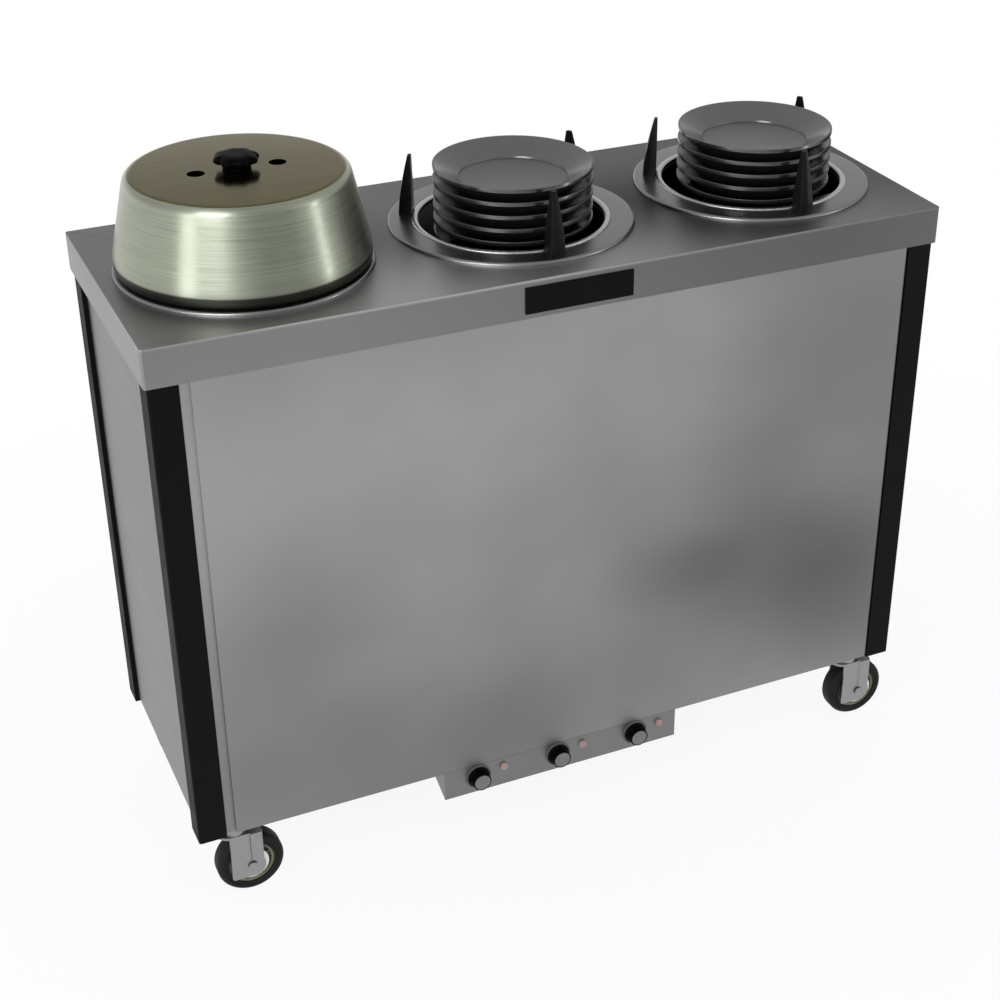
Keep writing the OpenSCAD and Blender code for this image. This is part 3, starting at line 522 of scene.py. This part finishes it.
# Recipe, name, a property or a hex colour, and the recipe's numbers
PLAIN = {
    # End sheets: the panels' steel and grain, with painted shade that makes them a little darker all over
    "end": (ground_stainless, "Ground stainless end panel", "panel", (520, 5, 520), 0.46,
            [((0, 0, 0), (9, 9, 9), -0.14)], 0.07, 0.26),
    # Well rings: pressed sheet without grain, clearer than the deck
    "ring": (ground_stainless, "Pressed stainless ring", "ring", (14, 14, 14), 0.28, (), 0.03, 0.2),
    # Control box: thin sheet with the panels' grain
    "box_steel": (ground_stainless, "Ground stainless box", "#7c7c7c", LEVEL_GRAIN, 0.42, (), 0.06, 0.2),
    # Deep-drawn tubes: the press leaves a matt skin
    "silo": (mottled_metal, "Drawn stainless silo", "#c0c0c0", 0.5),
    # Casters and bolts: even grey plating
    "zinc": (mottled_metal, "Zinc plated steel", "zinc", 0.36),
    # Thread guards and well lips: bright thin steel
    "guard": (mottled_metal, "Bright pressed steel", "#d4d4d4", 0.30),
    # Heater loops: a steel sheath browned by heat
    "sheath": (mottled_metal, "Heat-stained sheath", "#6d5f55", 0.5),
    # Carriages: soft white shine of spun aluminium
    "aluminium": (mottled_metal, "Spun aluminium", "#a9aaab", 0.4),
    # Springs: dark oiled wire
    "spring": (mottled_metal, "Oiled spring wire", "#6a6a6c", 0.34),
    # Bumpers: dense black rubber that hardly shines
    "rubber": (moulded, "Moulded rubber", "rubber", 0.55, 900, 0.12, 0.08),
    # Tyres: duller rubber with scuffs
    "tyre": (moulded, "Tyre rubber", "rubber", 0.62, 700, 0.2, 0.25, 0.05),
    # Guides and gland: black plastic with soft edges of light
    "plastic": (moulded, "Moulded black plastic", "plastic", 0.30, 1200, 0.06, 0.18),
    # Knobs: phenolic that stays near black
    "lobed": (moulded, "Moulded black knob", "#040404", 0.40, 1200, 0.04, 0.04),
    # Name plate: satin black paint without any print
    "bare": (moulded, "Bare black name plate", "#090909", 0.42, 1200, 0.05, 0.08),
    # Hubs: olive-grey nylon
    "hub": (moulded, "Moulded grey hub", "hub", 0.42, 900, 0.08),
    # Discs behind the control knobs: grey paint
    "dial": (moulded, "Painted dial", "dial", 0.4, 1500, 0.03),
    # Faces of the control knobs: satin grey discs
    "cap": (moulded, "Satin knob face", "#6c6c6c", 0.42, 1200, 0.03),
    # Thermostats: brown phenolic bodies
    "phenolic": (moulded, "Moulded phenolic", "#7a644a", 0.5, 700, 0.1),
    # Plates: dark glaze
    "glaze": (fired_glaze, "Dark glazed stoneware", "glaze"),
}


class Finish:
    """The materials, each made once, when a piece first asks for it."""
    made = {}

    @classmethod
    def get(cls, key):
        if key in PLAIN and key not in cls.made:
            recipe, name, base, *numbers = PLAIN[key]
            base = hex_linear(base) if base[0] == "#" else getattr(colours(), base)
            cls.made[key] = recipe(name, base, *numbers)
        elif key not in cls.made:
            cls.made[key] = getattr(cls, key)(colours())
        return cls.made[key]

    def panel(c):
        """Front and rear sheets: the grain runs level, with broad soft patches of painted reflection and
        shade on it.
        """
        low, high, mid = box("front_panel")
        wide, tall = high.x - low.x, high.z - low.z
        # Painted reflections and shade: place, half-widths and gain of each patch, as shares of the front's
        # width and height
        patches = ((0.82, 0.34, 0.33, 0.28, -0.36), (0.96, 0.20, 0.24, 0.30, -0.26),
                   (0.66, 0.36, 0.18, 0.13, -0.14), (0.76, 0.58, 0.16, 0.16, -0.10),
                   (0.00, 0.75, 0.62, 0.90, 0.30), (0.64, 0.10, 0.42, 0.30, -0.14),
                   (0.50, 0.88, 0.50, 0.46, 0.30), (0.12, 0.48, 0.18, 0.24, -0.14),
                   (0.08, 0.24, 0.30, 0.50, -0.24), (0.38, 0.05, 0.24, 0.26, -0.14),
                   (0.95, 0.12, 0.24, 0.24, -0.12), (0.10, 0.62, 0.16, 0.26, -0.07),
                   (0.40, 0.74, 0.16, 0.24, 0.07), (0.50, 0.40, 0.12, 0.30, 0.07),
                   (0.30, 0.04, 0.26, 0.32, -0.12), (0.22, 0.30, 0.16, 0.12, 0.08),
                   (1.00, 0.70, 0.45, 0.60, -0.14), (0.60, 0.95, 0.08, 0.16, -0.06))
        deep = 0.30
        spots = [((low.x + x * wide, mid.y, low.z + z * tall), (rx * wide, deep, rz * tall), gain)
                 for x, z, rx, rz, gain in patches]
        return ground_stainless("Ground stainless panel", c.panel, LEVEL_GRAIN, 0.46, spots, 0.10, 0.26)

    def deck(c):
        """Deck and skirt: a finer grind, with painted shade towards the right and a painted highlight along
        the front edge.
        """
        low, high, mid = box("deck")
        skin = 6 * MM

        def at(share, y):
            return (low.x + share * (high.x - low.x), y, high.z)
        # Painted shade and highlight: darker towards the right end, around the left well and between the
        # middle and right wells, lighter along the front edge
        spots = [((high.x, mid.y, mid.z), (high.x - low.x, 1.5, 1.5), -0.48),
                 (at(0.45, low.y), (1.00, 0.26, skin), 1.00),
                 (at(0.66, mid.y - 70 * MM), (0.38, 0.30, skin), -0.55),
                 (at(0.95, mid.y), (0.24, 0.30, skin), -0.10),
                 (at(0.25, mid.y), (0.24, 0.28, skin), -0.42)]
        return ground_stainless("Ground stainless deck", c.deck, LEVEL_GRAIN, 0.40, spots, 0.05, 0.25)

    def cover(c):
        """Cover: lathe rings on its side, straight grinding on its top."""
        low, high, mid = box("cover_shell")
        return spun_stainless("Spun stainless cover", c.cover, (mid.x, mid.y, high.z), sizes().cover_flat,
                              high.z - low.z)

    def lens(c):
        """Lamps: milky pink acrylic that lets a little light in."""
        return moulded("Pale red lens", c.lens, 0.16, 300, 0.02, Transmission_Weight=0.25, IOR=1.49)


# Pieces

class DISPENSER_OT_cabinet(bpy.types.Operator):
    """Sheet steel, bumpers and fittings of the cabinet"""
    bl_idname = "dispenser.cabinet"
    bl_label = "Cabinet"

    def execute(self, context):
        s, get = sizes(), Finish.get
        # Finish, share of the folded edge's radius, and the nodes that have both
        for finish_name, share, names in (
                ("panel", 0.4, ("front_panel", "rear_panel")),
                ("box_steel", 0.4, ("control_box", "control_box_cover")),
                ("end", 0.3, ("left_end_panel", "right_end_panel", "corner_posts")),
                ("zinc", 0.3, ("base_pan", "guide_posts")),
                ("bare", 0.4, ("name_plate",)), ("dial", 0.3, ("dial_bezels",)),
                ("phenolic", 0.6, ("thermostats",)), ("sheath", 0.0, ("heaters",)),
                ("plastic", 0.3, ("cord_gland",)), ("silo", 0.0, ["silo_" + w for w in WELLS]),
                ("ring", 0.0, ["well_ring_" + w for w in WELLS]),
                ("aluminium", 0.3, ["carriage_" + w for w in WELLS])):
            for name in names:
                dress(name, get(finish_name), share * s.edge)
        dress("deck", get("deck"), s.edge, 50)
        dress("corner_bumpers", get("rubber"), s.rubber_edge)
        for w in WELLS:
            self.lip(w, get("guard"))
        return {"FINISHED"}

    def lip(self, w, steel):
        """The silo's mouth rolled over the ring: a thin bright bead round the well"""
        low, high, _ = box("silo_" + w)
        _, top, centre = box("well_ring_" + w)
        wide, tall = 4.2 * MM, 1.9 * MM
        r = (high.x - low.x) / 2 + 3.4 * MM
        bead = lathe([(r + wide * x, tall * y) for x, y in ring_of(0, 0, 1, 16)],
                     (centre.x, centre.y, top.z + 0.2 * MM))
        ready(mesh_piece("well_lip_" + w, *bead, steel, 60), "cabinet", "ring_steel")


class DISPENSER_OT_lamps(bpy.types.Operator):
    """Domed lenses of the three lamps"""
    bl_idname = "dispenser.lamps"
    bl_label = "Lamps"

    def execute(self, context):
        dress("lamps", Finish.get("lens"), 0.9 * MM, 50)
        return {"FINISHED"}


class DISPENSER_OT_guides(bpy.types.Operator):
    """Upright plate guides: three moulded blades round each well"""
    bl_idname = "dispenser.guides"
    bl_label = "Plate guides"

    def execute(self, context):
        s = sizes()
        plastic = Finish.get("plastic")
        levels, count = 28, 3
        # A blade narrows towards its tip by this power of its height. Its outer edges lie behind its nose
        taper, edge_back, edge_in, corner = 1.5, 0.92, 0.72, 0.06
        for w in WELLS:
            low, high, _ = box("plate_guides_" + w)
            centre = box("well_ring_" + w)[2]
            rings = []
            for k in range(levels + 1):
                t = k / levels
                share = 1 - t ** taper
                d = s.guide_tip_depth + (s.guide_depth - s.guide_tip_depth) * share
                half = (s.guide_tip_width + (s.guide_width - s.guide_tip_width) * share) / 2
                z = low.z + t * (high.z - low.z)
                edge = s.guide_inner + edge_back * d
                r = corner * d
                outline = rounded([(s.guide_inner, -half, r), (edge, -edge_in * half, r),
                                   (s.guide_inner + d, 0, 0.4 * r), (edge, edge_in * half, r),
                                   (s.guide_inner, half, r)], 3)
                rings.append([(centre.x + x, centre.y + y, z) for x, y in outline])
            o = mesh_piece("guides_" + w, *stacked(rings), plastic, 45)
            copied(o, plastic, count, (centre.x, centre.y, 0), turn=2 * math.pi / count, first=math.pi / 6)
            ready(o, "cabinet", "guide_plastic", "plate_guides_" + w)
        return {"FINISHED"}


class DISPENSER_OT_plates(bpy.types.Operator):
    """Stacks of glazed plates"""
    bl_idname = "dispenser.plates"
    bl_label = "Plates"

    def execute(self, context):
        s = sizes()
        glaze = Finish.get("glaze")
        floor, under = -s.plate_depth, -s.plate_depth - s.plate_wall
        # The foot is a ring 6 mm wide that stands just inside the floor's edge
        foot_out, foot_in = s.plate_floor - 3 * MM, s.plate_floor - 9 * MM
        for w in WELLS:
            low, high, mid = box("plates_" + w)
            r = (high.x - low.x) / 2
            tall = (high.z - low.z) - (s.plate_count - 1) * s.plate_pitch
            # Radius, height and rounding of each corner. A small step parts the floor from the sloping rim
            profile = rounded([(0, floor, 0), (s.plate_floor + 1 * MM, floor, 0.3 * MM),
                               (s.plate_floor + 2 * MM, floor + 2.4 * MM, 0.3 * MM),
                               (r - 2.4 * MM, -0.2 * MM, 0.6 * MM), (r, -0.4 * MM, 0.5 * MM),
                               (r, -s.plate_wall - 1.6 * MM, 0.6 * MM), (foot_out, -tall, 1.5 * MM),
                               (foot_in, -tall, 1.5 * MM), (foot_in, under, 2 * MM), (0, under, 0)])
            turned = lathe(profile, (mid.x, mid.y, low.z + tall), 160)
            o = mesh_piece("plate_stack_" + w, *turned, glaze, 50)
            copied(o, glaze, s.plate_count, (mid.x, mid.y, 0), step=(0, 0, s.plate_pitch))
            ready(o, "carriage_" + w, "plate_glaze", "plates_" + w)
        return {"FINISHED"}


class DISPENSER_OT_springs(bpy.types.Operator):
    """Coil springs"""
    bl_idname = "dispenser.springs"
    bl_label = "Springs"

    def execute(self, context):
        turns, rings_a_turn, sides = sizes().spring_turns, 24, 8
        wire, end_space = 2.5 * MM, 1 * MM
        for w in WELLS:
            low, high, mid = box("spring_" + w)
            r = (high.x - low.x) / 2 - wire
            bottom, top = low.z + wire, high.z - wire
            # The end turns lie close, and the turns between share the rest
            end = 2 * wire + end_space
            rise = (top - bottom - 2 * end) / (turns - 2)
            rings = []
            for k in range(turns * rings_a_turn + 1):
                t = k / rings_a_turn
                if t < 1:
                    z = bottom + t * end
                elif t > turns - 1:
                    z = top - (turns - t) * end
                else:
                    z = bottom + end + (t - 1) * rise
                a = 2 * math.pi * t
                rings.append([(mid.x + q * math.cos(a), mid.y + q * math.sin(a), z + h)
                              for q, h in ring_of(r, 0, wire, sides)])
            o = mesh_piece("coil_" + w, *stacked(rings), Finish.get("spring"), 60)
            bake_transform(o)
            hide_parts("spring_" + w)
        return {"FINISHED"}


class DISPENSER_OT_cover(bpy.types.Operator):
    """Spun cover with its lobed knob"""
    bl_idname = "dispenser.cover"
    bl_label = "Cover"

    def execute(self, context):
        s = sizes()
        dress("cover_shell", Finish.get("cover"), 0.0, 50)
        dress("cover_stud", Finish.get("zinc"), 0.3 * s.edge)
        low, high, mid = box("cover_knob")
        tall, wide = high.z - low.z, (high.x - low.x) / 2
        # Height, radius and depth of the lobes as shares of the knob's own size
        shares = ((0.0, 0.60, 0.0), (0.02, 0.61, 0.0), (0.22, 0.62, 0.0), (0.36, 0.65, 0.02),
                  (0.42, 0.74, 0.05), (0.45, 0.88, 0.10), (0.49, 0.95, 0.12), (0.56, 0.985, 0.13),
                  (0.64, 1.0, 0.13), (0.72, 0.985, 0.13), (0.80, 0.95, 0.12), (0.88, 0.88, 0.10),
                  (0.94, 0.76, 0.07), (0.975, 0.62, 0.03), (0.99, 0.45, 0.0), (0.985, 0.20, 0.0),
                  (0.98, 0.0, 0.0))
        # The hollows between the lobes are narrower than the lobes by this power
        steps, hollow = 160, 1.4
        rings = []
        for h, r, lobe in shares:
            ring = []
            for k in range(steps):
                a = 2 * math.pi * k / steps
                q = wide * r * (1 - lobe * (0.5 - 0.5 * math.cos(s.knob_lobes * a)) ** hollow)
                ring.append((mid.x + q * math.cos(a), mid.y + q * math.sin(a), low.z + h * tall))
            rings.append(ring)
        o = mesh_piece("lobed_knob", *stacked(rings, capped=False), Finish.get("lobed"), 60)
        ready(o, "cover", "knob_plastic", "cover_knob")
        return {"FINISHED"}


class DISPENSER_OT_control_knobs(bpy.types.Operator):
    """Control knobs with satin faces and grips"""
    bl_idname = "dispenser.control_knobs"
    bl_label = "Control knobs"

    def execute(self, context):
        plastic, cap = Finish.get("lobed"), Finish.get("cap")
        spindle, dish, disc = 3 * MM, 0.8 * MM, 0.9 * MM
        for w in WELLS:
            low, high, mid = box("control_knob_" + w)
            base = (high.x - low.x) / 2
            face = base * 14.5 / 18
            back = high.y - (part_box("dial_bezels")[0].y - 0.3 * MM)
            front = high.y - low.y
            # Radius, distance from the spindle's end and rounding of each corner
            profile = rounded([(0, 0, 0), (spindle, 0, 0.3 * MM), (spindle, back, 0), (base, back, 0.6 * MM),
                               (base, back + 2.6 * MM, 1 * MM), (face + 0.9 * MM, back + 4.2 * MM, 1.5 * MM),
                               (face, front, 0.5 * MM), (face - 1.2 * MM, front, 0.2 * MM),
                               (face - 1.6 * MM, front - dish, 0.1 * MM), (0, front - dish, 0)], 4)
            o = mesh_piece("grip_" + w, *lathe(profile, (mid.x, high.y, mid.z), 96, "Y"), plastic, 50)
            ready(o, "control_knob_" + w, "knob_plastic", "control_knob_" + w)
            r = face - 1.8 * MM
            profile = rounded([(0, 0, 0), (r, 0, 0), (r, disc, 0.3 * MM), (0, disc, 0)], 3)
            turned = lathe(profile, (mid.x, low.y + dish, mid.z), 96, "Y")
            ready(mesh_piece("grip_face_" + w, *turned, cap, 50), "control_knob_" + w, "dial_grey")
        return {"FINISHED"}


class DISPENSER_OT_casters(bpy.types.Operator):
    """Casters: pressed forks, ribbed hubs and round tyres"""
    bl_idname = "dispenser.casters"
    bl_label = "Casters"

    # Radii of the holes for the kingpin and the axle
    KINGPIN, AXLE = 6.06 * MM, 5.06 * MM

    def execute(self, context):
        s, get = sizes(), Finish.get
        dress("caster_plates", get("zinc"), 0.4 * s.edge)
        dress("caster_bolts", get("zinc"), 0.3 * s.edge)
        for c in CORNERS:
            self.fork(c, get("zinc"))
            self.guards(c, get("guard"))
            dress("axle_" + c, get("zinc"), 0.5 * MM)
            self.tyre(c, get("tyre"))
            self.hub(c, get("hub"), s.wheel_ribs)
        return {"FINISHED"}

    def fork(self, c, zinc):
        """Pressed fork: crown, ball race and two upright legs with a raised front half each"""
        low, high, mid = box("fork_" + c)
        axle = box("hub_" + c)[2]
        way = 1 if axle.x > mid.x else -1
        # Ends of the fork from the axle, towards its trailing and its leading side
        reach, shift = (high.x - low.x) / 2, (mid.x - axle.x) * way
        back, foot = shift - reach, shift + reach
        king, crown_end, race_r = back + 27 * MM, back + 65 * MM, 22 * MM
        race, crown, leg, raised = 9.5 * MM, 4 * MM, 2.8 * MM, 5.2 * MM
        top = high.z - race - axle.z
        inner = (high.y - low.y) / 2 - raised
        out = inner + 3.6 * MM
        crown_line = rounded([(back, -out, 20 * MM), (crown_end, -out, 3 * MM), (crown_end, out, 3 * MM),
                              (back, out, 20 * MM)], 8)
        leg_line = rounded([(back + 16 * MM, top - 0.6 * MM, 1 * MM), (back + 14.5 * MM, -foot, 5 * MM),
                            (foot, -foot, 17 * MM), (foot, 2 * MM, 4 * MM), (foot - 2 * MM, 10 * MM, 4 * MM),
                            (foot - 2 * MM, top - 0.6 * MM, 1 * MM)], 10)

        def half(x, z, in_x, down):
            """Outline of the leg's raised half"""
            return [(x, top - down), (x, z), (foot - in_x, z), (foot - in_x, top - down)]
        parts = [prism([crown_line, ring_of(king, 0, self.KINGPIN)], top - crown, top, axis="Z"),
                 prism([ring_of(king, 0, race_r, 64), ring_of(king, 0, self.KINGPIN)], top - 1 * MM,
                       top + race, axis="Z")]
        for side in (-1, 1):
            parts += [prism([leg_line, ring_of(0, 0, self.AXLE)], side * inner, side * (inner + leg)),
                      prism([half(-3 * MM, 9 * MM, 2.4 * MM, 1 * MM)], side * (inner + 1 * MM),
                            side * (inner + raised), [half(-0.5 * MM, 12 * MM, 3 * MM, 1.4 * MM)])]
        o = mesh_piece("pressed_fork_" + c, *joined(parts, axle, way), zinc, 50)
        round_edges(o, 0.5 * MM, 2, 50)
        ready(applied(o), "fork_" + c, "zinc_steel", "fork_" + c)

    def guards(self, c, steel):
        """Dished thread guards between the hub and the legs"""
        low, high, mid = box("hub_" + c)
        boss = (high.y - low.y) / 2
        # Millimetres from the axle, and in from the end of the boss
        corners = ((12.2, 2.0), (20, 2.0), (26, 2.6), (26, 1.8), (20, 1.0), (12.2, 1.0))
        parts = [lathe([(r * MM, side * (boss - under * MM)) for r, under in corners], (0, 0, 0), 72, "Y")
                 for side in (-1, 1)]
        ready(mesh_piece("thread_guards_" + c, *joined(parts, mid), steel, 60), "wheel_" + c, "zinc_steel")

    def turned(self, name, half_profile, centre, steps, smooth_steps, material):
        """A lathe piece about the axle, the same on both sides: radius, height and rounding of each corner"""
        profile = rounded([(r, -h, e) for r, h, e in half_profile] + half_profile[::-1], smooth_steps)
        return mesh_piece(name, *lathe(profile, centre, steps, "Y"), material, 50)

    def tyre(self, c, rubber):
        """Tyre with a crowned tread and a groove in each side wall"""
        low, high, mid = box("tyre_" + c)
        hub_low, hub_high, _ = box("hub_" + c)
        outer, half = (high.z - low.z) / 2, (high.y - low.y) / 2
        inner, groove = (hub_high.z - hub_low.z) / 2, 0.9 * MM
        half_profile = [(inner, half, 0), (inner + 4 * MM, half, 0.4 * MM),
                        (inner + 5 * MM, half - groove, 0.4 * MM), (inner + 6 * MM, half, 0.5 * MM),
                        (outer - 5 * MM, half, 5 * MM), (outer, half - 6 * MM, 7 * MM)]
        o = self.turned("tread_" + c, half_profile, mid, 128, 6, rubber)
        ready(o, "wheel_" + c, "tyre_rubber", "tyre_" + c)

    def hub(self, c, plastic, ribs):
        """Hub with a boss, a web and a rim, and ribs on both sides of the web"""
        low, high, mid = box("hub_" + c)
        outer, boss = (high.z - low.z) / 2, (high.y - low.y) / 2
        rim = box("tyre_" + c)[1].y - mid.y - 2.5 * MM
        boss_r, web = 12 * MM, 5 * MM
        half_profile = [(self.AXLE, boss, 0), (boss_r, boss, 1 * MM), (boss_r, web, 2 * MM),
                        (outer - 5 * MM, web, 2 * MM), (outer - 4 * MM, rim, 0.8 * MM), (outer, rim, 0)]
        o = self.turned("wheel_hub_" + c, half_profile, mid, 96, 4, plastic)
        ready(o, "wheel_" + c, "hub_plastic", "hub_" + c)
        # One rib from the boss to the rim on each side of the web, repeated round the axle
        root, half = 4.5 * MM, 1.2 * MM
        near, far = boss_r - 0.5 * MM, outer - 4.6 * MM
        quad = [(-half, near), (half, near), (half, far), (-half, far)]
        blocks = [stacked([[(x, side * root, z) for x, z in quad],
                           [(x, side * (11 * MM if z == near else rim - 3 * MM), z) for x, z in quad]])
                  for side in (-1, 1)]
        o = mesh_piece("wheel_ribs_" + c, *joined(blocks, mid), plastic, 40)
        round_edges(o, 0.5 * MM, 2)
        applied(o)
        copied(o, plastic, ribs, mid, turn=2 * math.pi / ribs, axis=(0, 1, 0))
        ready(o, "wheel_" + c, "hub_plastic")


class DISPENSER_OT_studio(bpy.types.Operator):
    """Pale floor, soft lamps, plain surroundings and the camera"""
    bl_idname = "dispenser.studio"
    bl_label = "Studio"

    def execute(self, context):
        scene = context.scene
        self.floor()
        self.world(scene)
        self.lamps(scene)
        self.camera(scene)
        scene.view_settings.view_transform = "Standard"
        return {"FINISHED"}

    def floor(self):
        """White floor that keeps the object's soft shadow, which fades out around it"""
        half, white = 2.4, (1, 1, 1, 1)
        m, tree, shader = new_material("Pale studio floor", Base_Color=colours().floor, Roughness=0.9)
        out = next(n for n in tree.nodes if n.type == "OUTPUT_MATERIAL")
        # What gloss mirrors of it dims towards the dark corner at the right
        glossy = add(tree, "ShaderNodeLightPath", out="Is Glossy Ray")
        corner = soft_spots(tree, [((1.5, 0.5, 0), (1.4, 1.3, 1.0), -0.8)])
        dim = add(tree, MATH, [corner, 1.0], operation="SUBTRACT")
        level = add(tree, MATH, [glossy, dim, 1.0], operation="MULTIPLY_ADD")
        plain = add(tree, "ShaderNodeEmission", {"Color": white, "Strength": level})
        shadow = soft_spots(tree, [((0, 0, 0), (2.4, 2.0, 1.0), -0.10)])
        share = add(tree, MATH, [seen(tree), shadow], operation="MULTIPLY")
        mixed = add(tree, "ShaderNodeMixShader", [share, shader.outputs[0], plain])
        tree.links.new(mixed, out.inputs[0])
        corners = [(-half, -half, 0), (half, -half, 0), (half, half, 0), (-half, half, 0)]
        mesh_piece("studio_floor", corners, [[0, 1, 2, 3]], m)

    def world(self, scene):
        """White to the camera. Metal and glaze mirror a white horizon, a dim ceiling and a dark corner at the
        right and rear, and soft light comes down a little weaker than from the sides"""
        world = bpy.data.worlds.new("Studio")
        scene.world = world
        world.use_nodes = True
        tree = world.node_tree
        tree.nodes.clear()
        way = add(tree, "ShaderNodeTexCoord", out="Generated")
        up = add(tree, PARTS, [way], "Z")
        ceiling = add(tree, RANGE, [up, -0.02, 0.38, 1.0, 0.48], **SOFT)
        corner = soft_spots(tree, [((0.92, 0.40, -0.22), (0.98, 0.98, 0.62), -1.25),
                                   ((0.16, -1.0, -0.12), (0.80, 0.80, 0.60), -0.75),
                                   ((0.68, -0.72, -0.08), (0.48, 0.48, 0.50), -0.75)], way)
        both = add(tree, MATH, [ceiling, corner], operation="MULTIPLY")
        mirrored = add(tree, MATH, [both, 0.03], operation="MAXIMUM")
        fade = add(tree, RANGE, [up, 0.05, 0.75, 0.90, 0.62], **SOFT)
        camera = add(tree, "ShaderNodeLightPath", out="Is Camera Ray")
        level = add(tree, MIX, {0: seen(tree), 2: fade, 3: mirrored}, data_type="FLOAT")
        level = add(tree, MIX, {0: camera, 2: level, 3: 1.0}, data_type="FLOAT")
        light = add(tree, "ShaderNodeBackground", {"Color": (1, 1, 1, 1), "Strength": level})
        add(tree, "ShaderNodeOutputWorld", [light], None)

    def lamps(self, scene):
        """A broad key at the left, a weak fill, and a strip on each side that streaks the cover"""
        for name, spot, aim, wide, tall, power in (
                ("key", (-2.4, -2.2, 2.6), (0, 0, 0.6), 1.6, 1.6, 46),
                ("fill", (2.8, -2.6, 1.8), (0.2, 0, 0.6), 2.2, 2.2, 6),
                ("left strip", (-3.30, -1.40, 0.9), (-0.39, 0, 1.0), 0.80, 1.8, 13),
                ("right strip", (2.34, -1.62, 0.8), (-0.39, 0, 1.0), 0.22, 1.6, 6)):
            data = bpy.data.lights.new(name, "AREA")
            data.shape, data.size, data.size_y, data.energy = "RECTANGLE", wide, tall, power
            o = bpy.data.objects.new(name, data)
            scene.collection.objects.link(o)
            o.location = spot
            o.rotation_euler = (Vector(aim) - Vector(spot)).to_track_quat("-Z", "Y").to_euler()

    def camera(self, scene):
        """Fitted to the deck's corners: the camera looks right of straight ahead, down, and a little askew"""
        data = bpy.data.cameras.new("camera")
        data.sensor_width, data.lens, data.clip_end = 36, 66.416, 100
        data.shift_x, data.shift_y = -0.05318, -0.01567
        o = bpy.data.objects.new("camera", data)
        scene.collection.objects.link(o)
        place = (-1.0032, -2.3004, 1.9011)
        azimuth, down, roll = (math.radians(a) for a in (24.9186, 29.486, -0.1963))
        level = math.cos(down)
        ahead = Vector((math.sin(azimuth) * level, math.cos(azimuth) * level, -math.sin(down)))
        right = ahead.cross(Vector((0, 0, 1))).normalized()
        below = ahead.cross(right)
        right, below = (math.cos(roll) * right + math.sin(roll) * below,
                        math.cos(roll) * below - math.sin(roll) * right)
        turn = Matrix((right, -below, -ahead)).transposed().to_4x4()
        o.matrix_world = Matrix.Translation(place) @ turn
        scene.camera = o


class DISPENSER_PT_pieces(bpy.types.Panel):
    """Lists the pieces, their sizes and colours"""
    bl_idname = "DISPENSER_PT_pieces"
    bl_label = "Plate dispenser"
    bl_space_type = "VIEW_3D"
    bl_region_type = "UI"
    bl_category = "Dispenser"

    def draw(self, context):
        for operator in OPERATORS:
            self.layout.operator(operator.bl_idname)
        for group in (context.scene.dispenser_sizes, context.scene.dispenser_colours):
            column = self.layout.column()
            for name in group.bl_rna.properties.keys():
                if name not in ("rna_type", "name"):
                    column.prop(group, name)


OPERATORS = (DISPENSER_OT_studio, DISPENSER_OT_cabinet, DISPENSER_OT_lamps, DISPENSER_OT_guides,
             DISPENSER_OT_plates, DISPENSER_OT_springs, DISPENSER_OT_cover, DISPENSER_OT_control_knobs,
             DISPENSER_OT_casters)
CLASSES = (DispenserSizes, DispenserColours) + OPERATORS + (DISPENSER_PT_pieces,)


def register():
    for c in CLASSES:
        bpy.utils.register_class(c)
    bpy.types.Scene.dispenser_sizes = bpy.props.PointerProperty(type=DispenserSizes)
    bpy.types.Scene.dispenser_colours = bpy.props.PointerProperty(type=DispenserColours)


def unregister():
    del bpy.types.Scene.dispenser_sizes
    del bpy.types.Scene.dispenser_colours
    for c in reversed(CLASSES):
        bpy.utils.unregister_class(c)


def main():
    register()
    for operator in OPERATORS:
        group, name = operator.bl_idname.split(".")
        if getattr(getattr(bpy.ops, group), name)() != {"FINISHED"}:
            raise RuntimeError(operator.bl_label + " wasn't finished")


if __name__ == "__main__":
    main()
